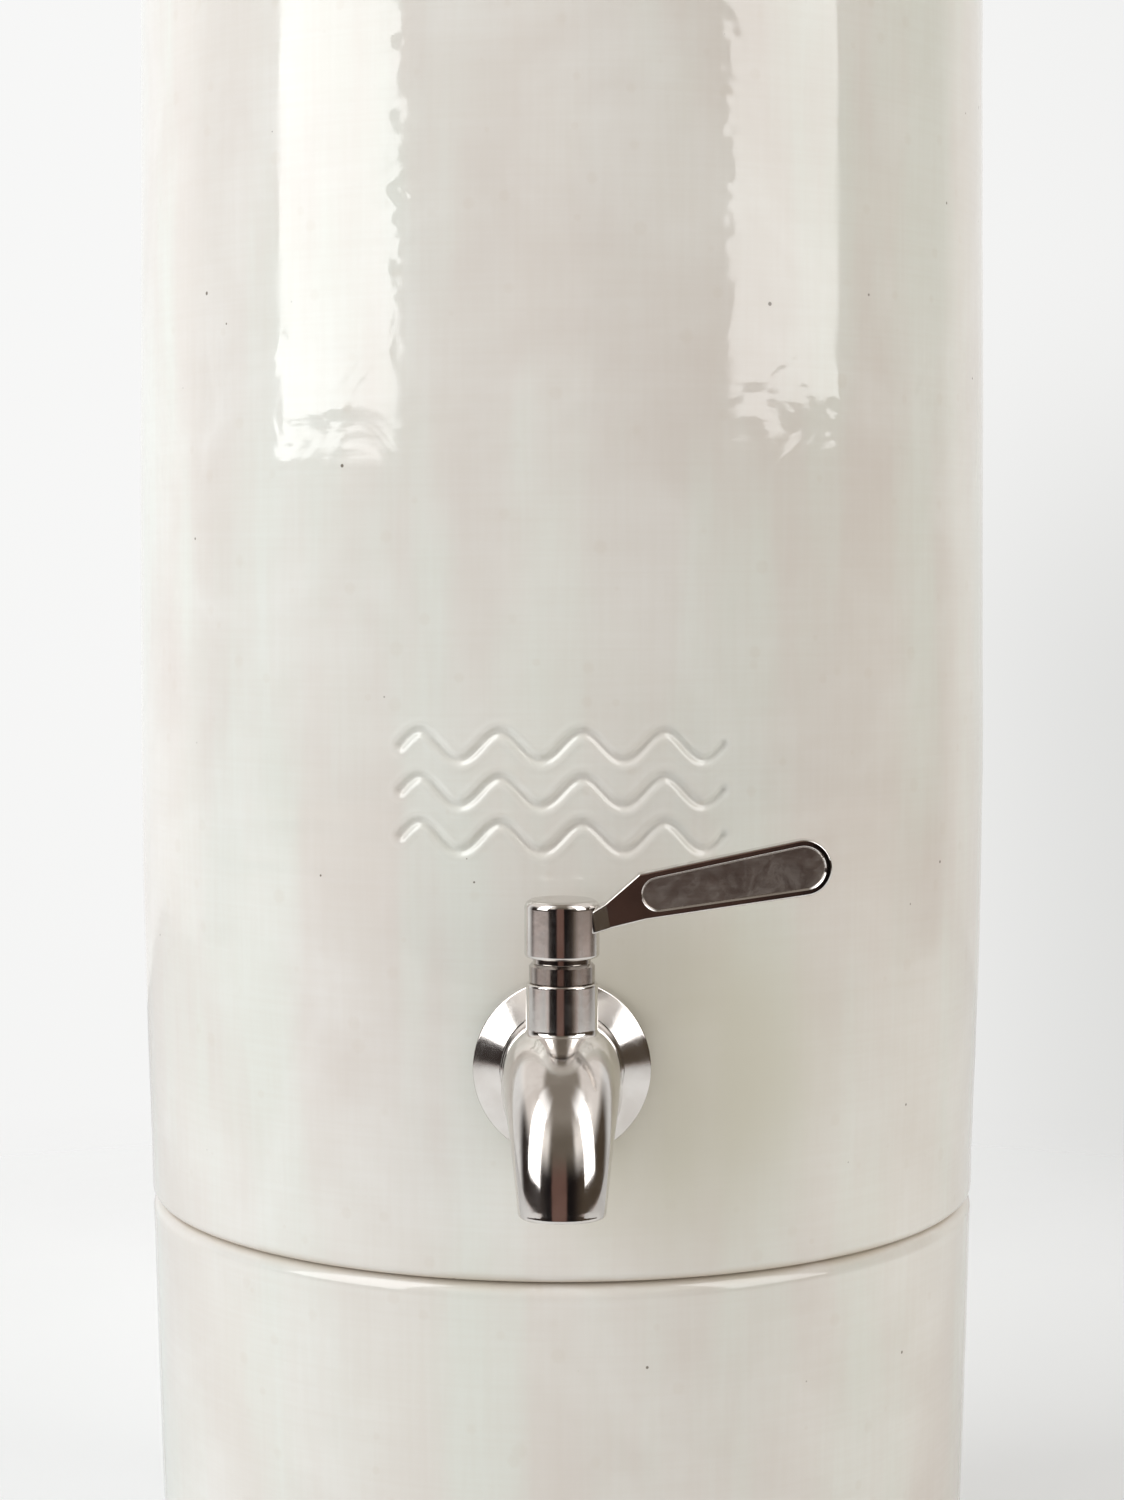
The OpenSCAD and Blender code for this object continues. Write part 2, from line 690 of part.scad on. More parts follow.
// Gland nut: threaded down into the barrel, with a ring and a neck above it
module bonnet() {
    thread_l = barrel_h - plug_top - soft_gap;
    bevel = 0.6;
    top = bonnet_h + neck_h;
    color(steel)
    on_barrel(barrel_h) difference() {
        union() {
            translate([0, 0, -thread_l]) cylinder(r = chamber_r - fit, h = thread_l);
            rotate_extrude()
                polygon([
                    [0, 0], [bonnet_r, 0], [bonnet_r, bonnet_h - bevel], [bonnet_r - bevel, bonnet_h],
                    [neck_r, bonnet_h], [neck_r, top], [0, top]]);
        }
        translate([0, 0, -thread_l - 1]) cylinder(r = spindle_r + run_play, h = thread_l + top + 2);
    }
}

// Torus that sits in a groove of the same section
module o_ring(groove_r) {
    rotate_extrude() translate([groove_r + o_ring_cord_r, 0]) circle(r = o_ring_cord_r, $fn = 24);
}

// Groove with square shoulders for an O-ring, cut from a shaft
module o_ring_groove(groove_r) {
    width = 2 * o_ring_cord_r + 0.2;
    translate([0, 0, -width / 2]) washer(groove_r + 4 * o_ring_cord_r, groove_r, width);
}

// Plug that turns in the chamber. Its side port faces away from the lever, so a quarter turn
// brings the port to the inlet
plug_r = chamber_r - run_play;
plug_groove_r = plug_r - 2 * o_ring_cord_r;
plug_groove_h = (port_r + plug_top - tongue_d) / 2;

module valve_plug() {
    low = -chamber_low + soft_gap;
    color(steel)
    on_barrel(0) difference() {
        translate([0, 0, low]) cylinder(r = plug_r, h = plug_top - low);
        translate([0, 0, low - 1]) cylinder(r = port_r, h = port_r - low + 1);
        rotate([0, -90, 0]) cylinder(r = port_r, h = plug_r + 1);
        translate([0, 0, plug_groove_h]) o_ring_groove(plug_groove_r);
        // slot for the spindle's tongue
        translate([-plug_r - 1, -tongue_w / 2 - fit, plug_top - tongue_d - fit])
            cube([2 * plug_r + 2, tongue_w + 2 * fit, tongue_d + 1]);
    }
}

module plug_o_ring() {
    color(black_rubber)
    on_barrel(plug_groove_h) o_ring(plug_groove_r);
}

spindle_groove_r = spindle_r - 2 * o_ring_cord_r;
spindle_groove_h = (plug_top + barrel_h) / 2;
spindle_top = hub_z - tap_z + hub_h - hub_top_t;

module spindle() {
    color(steel)
    on_barrel(0) difference() {
        union() {
            translate([0, 0, plug_top]) cylinder(r = spindle_r, h = spindle_top - plug_top);
            translate([0, 0, plug_top - tongue_d]) intersection() {
                cylinder(r = spindle_r, h = tongue_d + 1);
                translate([-spindle_r, -tongue_w / 2, 0]) cube([2 * spindle_r, tongue_w, tongue_d + 1]);
            }
        }
        translate([0, 0, spindle_groove_h]) o_ring_groove(spindle_groove_r);
        // flat for the grub screw
        translate([-spindle_r, spindle_r - flat_d, grub_h - flat_h / 2]) cube([2 * spindle_r, 2, flat_h]);
    }
}

module spindle_o_ring() {
    color(black_rubber)
    on_barrel(spindle_groove_h) o_ring(spindle_groove_r);
}

// ---- Lever ----
flat_h = 2 * grub_r + 2;
grub_h = hub_z - tap_z + grub_rise;
lever_axis_h = hub_h - lever_drop;

// Side outline of the neck and blade, along the lever's middle line
neck_drop = blade_root_r + 0.6;
function lever_outline() = concat(
    [[2, -neck_drop], [hub_r + 1.5, -neck_drop], [blade_start, -blade_root_r]],
    arc(lever_l, 0, blade_tip_r, -90, 90, 18),
    [[blade_start, blade_root_r], [hub_r + 1.5, 0], [2, -2]]);

// Plan outline: a root narrows from inside the hub to the blade's thickness
function lever_plan(reach) =
    let (half = [[0, neck_w / 2], [hub_r * 0.8, neck_w / 2], [hub_r + 2, blade_t / 2], [reach, blade_t / 2]])
    concat([for (p = half) [p[0], -p[1]]], [for (i = [3:-1:0]) half[i]]);

module lever() {
    slab = 2 * hub_r;
    reach = lever_l + blade_tip_r + 10;
    color(steel)
    difference() {
        union() {
            // hub with a rounded top edge
            translate([0, barrel_y, hub_z]) rotate_extrude()
                polygon(concat(
                    [[0, 0]],
                    arc(hub_r - fine_edge, fine_edge, fine_edge, -90, 0, 3),
                    arc(hub_r - hub_edge, hub_h - hub_edge, hub_edge, 0, 90),
                    [[0, hub_h]]));
            on_lever() intersection() {
                rotate([90, 0, 0]) linear_extrude(2 * slab, center = true) polygon(lever_outline());
                linear_extrude(reach, center = true) polygon(lever_plan(reach));
            }
        }
        translate([0, barrel_y, hub_z - 1]) cylinder(r = spindle_r + fit, h = hub_h - hub_top_t + 1 + fit);
        on_barrel(grub_h) rotate([-90, 0, 0]) cylinder(r = grub_r + fit, h = hub_r + 1);
        for (hand = [-1, 1])
            on_lever() translate([0, hand * blade_t / 2, 0]) rotate([90, 0, 0])
                translate([0, 0, -panel_d]) linear_extrude(2 * panel_d) polygon(panel_outline());
    }
}

// Outline of the panel sunk into the blade
function panel_outline() =
    let (root = blade_root_r - panel_border)
    capsule(blade_start + root, root, lever_l, blade_tip_r - panel_border);

// Places a piece along the lever's rising middle line
module on_lever() {
    translate([0, barrel_y, hub_z + lever_axis_h]) rotate([0, -lever_rise, 0]) children();
}

// Socket screw that clamps the hub to the spindle's flat, from behind
module grub_screw() {
    inner = spindle_r - flat_d;
    length = hub_r - inner - fine_edge;
    color(steel)
    on_barrel(grub_h) rotate([-90, 0, 0]) translate([0, 0, inner]) difference() {
        cylinder(r = grub_r, h = length);
        translate([0, 0, length - grub_r * 0.8]) cylinder(r = grub_r * 0.6, h = grub_r, $fn = 6);
    }
}

// ---- Assembly ----
stand();
crock();
filter_vessel();
lid();
ceramic_dome(-1);  // left_ceramic_dome
ceramic_dome(1);  // right_ceramic_dome
carbon_core(-1);  // left_carbon_core
carbon_core(1);  // right_carbon_core
candle_mount(-1);  // left_candle_mount
candle_mount(1);  // right_candle_mount
mount_seal(-1);  // left_mount_seal
mount_seal(1);  // right_mount_seal
wing_nut(-1);  // left_wing_nut
wing_nut(1);  // right_wing_nut
tap_body();
escutcheon();
outer_washer();
inner_washer();
steel_washer();
lock_nut();
bonnet();
port_seal();
valve_plug();
plug_o_ring();
spindle();
spindle_o_ring();
lever();
grub_screw();
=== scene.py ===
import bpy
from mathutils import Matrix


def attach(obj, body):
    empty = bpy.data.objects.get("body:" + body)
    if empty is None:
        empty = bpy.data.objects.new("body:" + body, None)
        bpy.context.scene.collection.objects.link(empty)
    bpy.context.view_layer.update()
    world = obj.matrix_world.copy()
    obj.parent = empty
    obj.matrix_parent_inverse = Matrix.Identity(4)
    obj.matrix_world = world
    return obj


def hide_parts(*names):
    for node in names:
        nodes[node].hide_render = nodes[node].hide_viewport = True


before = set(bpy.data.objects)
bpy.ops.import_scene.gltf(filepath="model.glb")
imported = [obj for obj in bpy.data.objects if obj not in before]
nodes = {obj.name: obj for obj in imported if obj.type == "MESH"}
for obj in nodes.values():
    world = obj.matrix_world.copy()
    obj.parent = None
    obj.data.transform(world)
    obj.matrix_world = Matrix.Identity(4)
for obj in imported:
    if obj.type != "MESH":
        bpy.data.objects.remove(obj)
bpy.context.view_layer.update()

import math

import bmesh
import bpy
import numpy as np
from mathutils import Matrix, Vector
from mathutils.geometry import tessellate_polygon

mm = 0.001               # the dictionaries hold millimetres and degrees unless they say otherwise
scene = bpy.context.scene
materials = {}
print("frame loaded:", len(nodes), "nodes")


# a node with its settings, its values and its links in one call
def addNode(tree, kind, feeds=None, **settings):
    node = tree.nodes.new(kind)
    for key, value in settings.items():
        setattr(node, key, value)
    for key, value in (feeds or {}).items():
        if isinstance(value, bpy.types.NodeSocket):
            tree.links.new(value, node.inputs[key])
        else:
            node.inputs[key].default_value = value
    return node


# these find their tree from the sockets they are given
def treeOf(values):
    return next(value.id_data for value in values if isinstance(value, bpy.types.NodeSocket))


def calc(operation, *values):
    return addNode(treeOf(values), "ShaderNodeMath", dict(enumerate(values)), operation=operation).outputs[0]


def plus(a, b):
    return calc("ADD", a, b)


def minus(a, b):
    return calc("SUBTRACT", a, b)


def times(a, b):
    return calc("MULTIPLY", a, b)


def over(a, b):
    return calc("DIVIDE", a, b)


def bearing(x, y):       # the turn about Z from the front, positive to the right
    return calc("ARCTAN2", x, times(y, -1.0))


def vectorMath(operation, *values):
    outputs = addNode(treeOf(values), "ShaderNodeVectorMath", dict(enumerate(values)), operation=operation).outputs
    return outputs[1 if operation in ("LENGTH", "DISTANCE") else 0]


def parted(vector):
    return addNode(vector.id_data, "ShaderNodeSeparateXYZ", {0: vector}).outputs


def joined(x, y, z):
    return addNode(treeOf((x, y, z)), "ShaderNodeCombineXYZ", {0: x, 1: y, 2: z}).outputs[0]


def remap(value, low, high, newLow=0.0, newHigh=1.0):
    feeds = {"Value": value, "From Min": low, "From Max": high, "To Min": newLow, "To Max": newHigh}
    return addNode(value.id_data, "ShaderNodeMapRange", feeds, interpolation_type="SMOOTHSTEP").outputs[0]


def within(value, begins, full, fades, gone):    # 1 between full and fades, and 0 outside the limits
    return times(remap(value, begins, full), remap(value, fades, gone, 1.0, 0.0))


def noiseOf(vector, scale, detail=2.0, roughness=0.5, distortion=0.0):
    return addNode(vector.id_data, "ShaderNodeTexNoise", {
        "Vector": vector, "Scale": scale, "Detail": detail, "Roughness": roughness,
        "Distortion": distortion}).outputs[0]


def newTree(name, kind, inputs, outputs):
    tree = bpy.data.node_groups.new(name, kind)
    for label, socketType, value in inputs:
        socket = tree.interface.new_socket(label, in_out="INPUT", socket_type="NodeSocket" + socketType)
        if value is not None:
            socket.default_value = value
    for label, socketType in outputs:
        tree.interface.new_socket(label, in_out="OUTPUT", socket_type="NodeSocket" + socketType)
    return tree, tree.nodes.new("NodeGroupInput").outputs, tree.nodes.new("NodeGroupOutput").inputs


# the end of a geometry tree: turned and moved where it has a place, realised and coated
def closeTree(tree, given, result, geometry):
    if "Move" in given:
        geometry = addNode(tree, "GeometryNodeTransform", {
            "Geometry": geometry, "Translation": given["Move"], "Rotation": given["Turn"]}).outputs[0]
    real = addNode(tree, "GeometryNodeRealizeInstances", {0: geometry}).outputs[0]
    coated = addNode(tree, "GeometryNodeSetMaterial", {"Geometry": real, "Material": given["Material"]})
    tree.links.new(coated.outputs[0], result[0])
    return tree


def newPiece(name, points, faces=(), edges=()):
    mesh = bpy.data.meshes.new(name)
    mesh.from_pydata([tuple(map(float, p)) for p in points], list(edges), [tuple(map(int, f)) for f in faces])
    piece = bpy.data.objects.new(name, mesh)
    scene.collection.objects.link(piece)
    return piece


def plainMesh(piece):    # what the modifiers make becomes the piece's own mesh
    graph = bpy.context.evaluated_depsgraph_get()
    made = bpy.data.meshes.new_from_object(piece.evaluated_get(graph))
    old = piece.data
    piece.modifiers.clear()
    piece.data = made
    bpy.data.meshes.remove(old)
    return piece


def reworked(piece, weld=None, bevel=None):      # welds, bevels and turns the faces outward
    work = bmesh.new()
    work.from_mesh(piece.data)
    if weld:
        bmesh.ops.remove_doubles(work, verts=work.verts, dist=weld)
    if bevel:
        bmesh.ops.bevel(work, geom=list(work.edges), offset=bevel, segments=3, affect="EDGES", profile=0.5)
    bmesh.ops.recalc_face_normals(work, faces=work.faces)
    work.to_mesh(piece.data)
    work.free()
    return piece


def shaded(piece, sharpAngle=40):
    reworked(piece)
    piece.data.shade_smooth()
    piece.data.set_sharp_from_angle(angle=math.radians(sharpAngle))
    return piece


def runTree(piece, tree, **values):      # frontColumns sets the input Front Columns, and so on
    modifier = piece.modifiers.new(tree.name, "NODES")
    modifier.node_group = tree
    sockets = {item.name.replace(" ", "").lower(): item.identifier for item in tree.interface.items_tree
               if item.item_type == "SOCKET" and item.in_out == "INPUT"}
    for label, value in values.items():
        modifier[sockets[label.lower()]] = value
    return plainMesh(piece)


def carve(piece, tools, operation="DIFFERENCE"):
    for tool in tools:
        cut = piece.modifiers.new("cut", "BOOLEAN")
        cut.operation = operation
        cut.solver = "MANIFOLD"
        cut.object = tool
        plainMesh(piece)
    for tool in tools:
        bpy.data.objects.remove(tool)


def arc(x, z, radius, start, end, steps=8):
    turn = np.radians(np.linspace(start, end, steps + 1))
    return [(x + radius * math.cos(a), z + radius * math.sin(a)) for a in turn]


def rod(name, radius, start, end, sides=96):    # closed cylinder between two points, in millimetres
    start, end = Vector(start), Vector(end)
    turn = (end - start).to_track_quat("Z", "Y")
    ring = [turn @ Vector((radius * math.cos(a), radius * math.sin(a), 0))
            for a in np.linspace(0, 2 * math.pi, sides, endpoint=False)]
    points = [(start + p) * mm for p in ring] + [(end + p) * mm for p in ring]
    faces = [[i, (i + 1) % sides, sides + (i + 1) % sides, sides + i] for i in range(sides)]
    return newPiece(name, points, faces + [list(range(sides))[::-1], list(range(sides, 2 * sides))])


def finished(piece, material, body, replaced):
    piece.data.materials.clear()
    piece.data.materials.append(materials[material])
    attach(piece, body)
    if replaced:
        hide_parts(*replaced)


view = {"distance": 780, "height": 327.7, "sensor": 36, "lens": 62.424, "shift": -0.1113, "nearest": 20}
camera = bpy.data.objects.new("camera", bpy.data.cameras.new("camera"))
scene.collection.objects.link(camera)
scene.camera = camera
camera.location = (0, -view["distance"] * mm, view["height"] * mm)
camera.rotation_euler = (math.radians(90), 0, 0)
camera.data.sensor_width = view["sensor"]
camera.data.lens = view["lens"]
camera.data.shift_y = view["shift"]
camera.data.clip_start = view["nearest"] * mm

for label in ("glaze", "ceramic", "steel", "shadedRingSteel", "shadedFlatSteel", "bladeSteel", "carbon", "plastic", "silicone",
              "rubber"):
    materials[label] = bpy.data.materials.new(label)
    materials[label].use_nodes = True

# the clay's ripples in turned skins: how far they stretch round the pot, and the noise that counts
clay = {"ringStretch": 0.35, "wobbleStretch": 1.6, "wobbleShift": 40.0, "noise": (0.2, 0.8), "weld": 0.000004}


# A profile of points (radius, height) is turned about Z. The front gets finer columns, and the
# skin is drawn in a little by throwing rings and a slow wobble, never out.
def buildTurnedForm():
    tree, given, result = newTree("turnedForm", "GeometryNodeTree", [
        ("Profile", "Geometry", None), ("Columns", "Int", 96), ("Front Columns", "Int", 24),
        ("Front Half Angle", "Float", 45.0), ("Ring Depth", "Float", 0.0), ("Ring Pitch", "Float", 0.006),
        ("Wobble Depth", "Float", 0.0), ("Wobble Size", "Float", 0.09), ("Fade Low", "Float", 0.0),
        ("Fade High", "Float", 1.0), ("Fade Width", "Float", 0.012), ("Seed", "Float", 1.0),
        ("Turn", "Vector", (0, 0, 0)), ("Move", "Vector", (0, 0, 0)), ("Material", "Material", None)],
        [("Geometry", "Geometry")])
    profile, half = given["Profile"], given["Front Half Angle"]
    rows = addNode(tree, "GeometryNodeAttributeDomainSize", {0: profile}).outputs["Point Count"]
    grid = addNode(tree, "GeometryNodeMeshGrid", {"Vertices X": plus(given["Columns"], 1.0), "Vertices Y": rows})
    index = addNode(tree, "GeometryNodeInputIndex").outputs[0]
    column = calc("FLOOR", over(plus(index, 0.5), rows))
    row = minus(index, times(column, rows))

    def sampled(field, kind):            # the profile's value in this point's row
        return addNode(tree, "GeometryNodeSampleIndex", {0: profile, 1: field, 2: row}, data_type=kind).outputs[0]

    radius, _, height = parted(sampled(addNode(tree, "GeometryNodeInputPosition").outputs[0], "FLOAT_VECTOR"))
    skin = sampled(addNode(tree, "GeometryNodeInputNamedAttribute", {0: "skin"}, data_type="FLOAT").outputs[0],
                   "FLOAT")
    frontStep = over(times(half, 2.0), given["Front Columns"])
    backStep = over(minus(360.0, times(half, 2.0)), minus(given["Columns"], given["Front Columns"]))
    inFront = calc("MINIMUM", column, given["Front Columns"])
    angle = plus(times(inFront, frontStep), times(minus(column, inFront), backStep))
    angle = calc("RADIANS", minus(minus(angle, 90.0), half))
    alongX, alongY = calc("COSINE", angle), calc("SINE", angle)

    def rippled(depth, sideways, upward, shift):
        spot = joined(times(alongX, sideways), times(alongY, sideways), plus(over(height, upward), shift))
        return times(remap(noiseOf(spot, 1.0, detail=1.5, roughness=0.4), *clay["noise"]), depth)

    inset = plus(rippled(given["Ring Depth"], clay["ringStretch"], given["Ring Pitch"], given["Seed"]),
                 rippled(given["Wobble Depth"], clay["wobbleStretch"], given["Wobble Size"],
                         plus(given["Seed"], clay["wobbleShift"])))
    rising = remap(minus(height, given["Fade Low"]), 0.0, given["Fade Width"])
    falling = remap(minus(given["Fade High"], height), 0.0, given["Fade Width"])
    radius = minus(radius, times(times(inset, skin), times(rising, falling)))
    spot = joined(times(radius, alongX), times(radius, alongY), height)
    turned = addNode(tree, "GeometryNodeSetPosition", {"Geometry": grid.outputs[0], "Position": spot}).outputs[0]
    closed = addNode(tree, "GeometryNodeMergeByDistance", {"Geometry": turned, "Distance": clay["weld"]})
    return closeTree(tree, given, result, closed.outputs[0])


turnedForm = buildTurnedForm()


def spaced(profile, spacing):    # long stretches get points in between, so that the wall can ripple
    dense = [profile[0]]
    for (x0, z0), (x1, z1) in zip(profile, profile[1:]):
        step = spacing if not callable(spacing) else spacing((z0 + z1) / 2)
        count = max(1, math.ceil(math.hypot(x1 - x0, z1 - z0) / step))
        dense += [(x0 + (x1 - x0) * i / count, z0 + (z1 - z0) * i / count) for i in range(1, count + 1)]
    return dense


# the keywords are the turned form's inputs; each pot's dictionary holds its own under turning, in metres
def turnedPiece(name, profile, material, skinFrom=None, **values):
    points = [(r * mm, 0, z * mm) for r, z in profile]
    piece = newPiece(name, points, edges=[(i, i + 1) for i in range(len(points) - 1)])
    skin = piece.data.attributes.new("skin", "FLOAT", "POINT")
    skin.data.foreach_set("value", [1.0 if skinFrom and skinFrom(r, z) else 0.0 for r, z in profile])
    return shaded(runTree(piece, turnedForm, material=materials[material], **values))


# a ring of clay that hangs below a floor or a lid, and the flat step beside it
def footRing(d):
    low, edge = d["softEdge"] - d["ringDrop"], d["softEdge"]
    return (arc(d["ringIn"] + edge, low, edge, 180, 270, 5) + arc(d["ringOut"] - edge, low, edge, 270, 360, 5)
            + [(d["ringOut"], 0)])


stand = {"height": 150, "footRadius": 115.5, "seamRadius": 121, "bore": 104, "rebate": 107, "rebateDepth": 10,
         "topEdge": 4.5, "edge": 2.5, "softEdge": 1.5, "curve": 1.3, "wallRows": 24, "row": 4, "skinFrom": 112,
         "turning": {"columns": 300, "frontColumns": 170, "frontHalfAngle": 80.0, "ringDepth": 0.00010,
                     "ringPitch": 0.011, "wobbleDepth": 0.00035, "fadeLow": 0.004, "fadeHigh": 0.149, "seed": 3.0}}


def standOut(z):
    s = stand
    return s["footRadius"] + (s["seamRadius"] - s["footRadius"]) * (1 - (1 - z / s["height"]) ** s["curve"])


def makeStand():
    s, top, edge = stand, stand["height"] - stand["topEdge"], stand["edge"]
    wall = [(standOut(z), z) for z in np.linspace(edge, top, s["wallRows"])[1:-1]]
    profile = [(s["bore"] + 1, 0)] + arc(standOut(edge) - edge, edge, edge, -90, 0) + wall
    profile += arc(standOut(top) - s["topEdge"], top, s["topEdge"], 0, 90, 12)
    profile += arc(s["rebate"] + s["softEdge"], s["height"] - s["softEdge"], s["softEdge"], 90, 180, 6)
    profile += [(s["rebate"], s["height"] - s["rebateDepth"]), (s["bore"], s["height"] - s["rebateDepth"]),
                (s["bore"], 1), (s["bore"] + 1, 0)]
    piece = turnedPiece("glazedStand", spaced(profile, s["row"]), "glaze", lambda r, z: r > s["skinFrom"],
                        **s["turning"])
    finished(piece, "glaze", "root", ["stand"])


makeStand()
print("stand made")

crock = {"foot": 150, "height": 420, "seamRadius": 121, "swell": 3.94, "swellHeight": 150, "wall": 8, "floor": 10,
         "corner": 14, "edge": 2.5, "softEdge": 1.5, "ringOut": 106, "ringIn": 97, "ringDrop": 8,
         "holeRadius": 8.5, "spotRadius": 18, "spotAt": 121.216, "innerSpotRadius": 15, "innerSpotAt": 115.692,
         "drillIn": 60, "drillOut": 140, "row": 5.0, "fineRow": 0.55, "innerRow": 16, "swellRow": 4, "skinFrom": 119,
         "innerHeights": (150, 29, -20),
         "turning": {"columns": 344, "frontColumns": 184, "frontHalfAngle": 21.5, "ringDepth": 0.00010,
                     "ringPitch": 0.009, "wobbleDepth": 0.00040, "fadeLow": 0.151, "fadeHigh": 0.569, "seed": 7.0}}
tapHeight = 205.5        # the shank's axis above the table


def crockOut(h):
    c = crock
    return c["seamRadius"] + c["swell"] * math.sin(math.pi / 2 * min(1, max(0, h) / c["swellHeight"]))


# three pressed ripples, each a soft groove that follows a wave drawn on the unrolled wall;
# the burr's place and width are shares of the groove's half width, and wall is in metres
ripples = {"centre": 275, "width": 84, "spacing": 11.5, "waves": 4, "swing": 3.6, "groove": 1.75, "depth": 1.0,
           "burr": 0.10, "burrAt": 1.45, "burrReach": 0.6, "wall": 0.005, "count": 3, "steps": 161, "margin": 4}


def buildPressedRipple():
    tree, given, result = newTree("pressedRipple", "GeometryNodeTree", [
        ("Geometry", "Geometry", None), ("Lines", "Object", None), ("Wall Radius", "Float", 0.125),
        ("Groove Half Width", "Float", 0.0016), ("Depth", "Float", 0.001), ("Burr", "Float", 0.0001),
        ("Material", "Material", None)], [("Geometry", "Geometry")])
    lines = addNode(tree, "GeometryNodeObjectInfo", {0: given["Lines"]}).outputs["Geometry"]
    position = addNode(tree, "GeometryNodeInputPosition").outputs[0]
    x, y, height = parted(position)
    flat = joined(times(bearing(x, y), given["Wall Radius"]), 0.0, height)
    near = addNode(tree, "GeometryNodeProximity", {0: lines, "Sample Position": flat}, target_element="EDGES")
    reach = over(near.outputs["Distance"], given["Groove Half Width"])
    groove = times(remap(reach, 0.0, 1.0, 1.0, 0.0), given["Depth"])
    ridge = times(remap(calc("ABSOLUTE", minus(reach, ripples["burrAt"])), 0.0, ripples["burrReach"], 1.0, 0.0),
                  given["Burr"])
    level = vectorMath("MULTIPLY", position, (1, 1, 0))
    outside = calc("GREATER_THAN", vectorMath("LENGTH", level), minus(given["Wall Radius"], ripples["wall"]))
    push = addNode(tree, "ShaderNodeVectorMath", {
        0: vectorMath("NORMALIZE", level), "Scale": times(minus(ridge, groove), outside)}, operation="SCALE")
    pressed = addNode(tree, "GeometryNodeSetPosition", {"Geometry": given["Geometry"], "Offset": push.outputs[0]})
    return closeTree(tree, given, result, pressed.outputs[0])


def rippleLines():
    r, points, edges = ripples, [], []
    for line in range(r["count"]):
        first = len(points)
        lift = r["centre"] + (line - (r["count"] - 1) / 2) * r["spacing"]
        for u in np.linspace(-0.5, 0.5, r["steps"]):
            swing = r["swing"] * math.sin(2 * math.pi * r["waves"] * u)
            points.append((u * r["width"] * mm, 0, (lift + swing) * mm))
        edges += [(i, i + 1) for i in range(first, len(points) - 1)]
    return newPiece("rippleLines", points, edges=edges)


def makeCrock():
    c, foot, top = crock, crock["foot"], crock["seamRadius"] + crock["swell"]
    inner = crockOut(c["floor"] + c["corner"]) - c["wall"]
    rimEdge = min(c["edge"], c["wall"] / 2 - 1)
    fine = ripples["spacing"] * ripples["count"] / 2 + ripples["margin"]

    def rowSpacing(h):
        return c["fineRow"] if abs(h + foot - ripples["centre"]) < fine else c["row"]

    profile = [(0, 0), (c["ringIn"], 0)] + footRing(c)
    profile += arc(crockOut(c["edge"]) - c["edge"], c["edge"], c["edge"], -90, 0)
    rows = math.ceil((c["swellHeight"] - c["edge"]) / c["swellRow"])
    heights = [c["edge"] + c["swellRow"] * i for i in range(1, rows)] + [c["swellHeight"]]
    profile += [(crockOut(h), h) for h in heights]
    profile += arc(top - rimEdge, c["height"] - rimEdge, rimEdge, 0, 90)
    profile += arc(top - c["wall"] + rimEdge, c["height"] - rimEdge, rimEdge, 90, 180)
    inside = [profile[-1]] + [(crockOut(h) - c["wall"], h) for h in range(*c["innerHeights"])]
    inside += arc(inner - c["corner"], c["floor"] + c["corner"], c["corner"], 0, -90, 10) + [(0, c["floor"])]
    dense = spaced(profile, rowSpacing) + spaced(inside, c["innerRow"])[1:]
    piece = turnedPiece("glazedCrock", [(r, h + foot) for r, h in dense], "glaze",
                        lambda r, z: r > c["skinFrom"] and z > foot, **c["turning"])
    lines = rippleLines()
    runTree(piece, buildPressedRipple(), lines=lines, wallRadius=crockOut(ripples["centre"] - foot) * mm,
            grooveHalfWidth=ripples["groove"] * mm, depth=ripples["depth"] * mm, burr=ripples["burr"] * mm,
            material=materials["glaze"])
    bpy.data.objects.remove(lines)
    carve(piece, [rod(name, radius, (0, -start, tapHeight), (0, -end, tapHeight)) for name, radius, start, end in (
        ("hole", c["holeRadius"], c["drillIn"], c["drillOut"]),
        ("spot", c["spotRadius"], c["spotAt"], c["drillOut"]),
        ("innerSpot", c["innerSpotRadius"], c["drillIn"], c["innerSpotAt"]))])
    shaded(piece, 50)
    finished(piece, "glaze", "crock_body", ["crock"])


makeCrock()
print("crock made")

vessel = {"rim": 570, "depth": 190, "radius": 113, "inner": 107, "flangeRadius": 123.5, "flange": 8, "floor": 8,
          "corner": 10, "edge": 2.5, "softEdge": 1.5, "stemHole": 6, "candleAt": 46, "row": 6, "skinFrom": 108,
          "turning": {"columns": 256, "frontColumns": 128, "frontHalfAngle": 90.0, "ringDepth": 0.0002,
                      "ringPitch": 0.01, "fadeLow": 0.392, "fadeHigh": 0.565, "seed": 12.0}}
lid = {"seat": 578, "thickness": 7, "rise": 12, "radius": 123.5, "ringOut": 105.5, "ringIn": 99.5, "ringDrop": 12,
       "edge": 2.5, "softEdge": 1.5, "knobRadius": 20, "knobHeight": 28, "neck": 11, "root": 5, "head": 14, "row": 5,
       "turning": {"columns": 240, "frontColumns": 120, "frontHalfAngle": 90.0}}


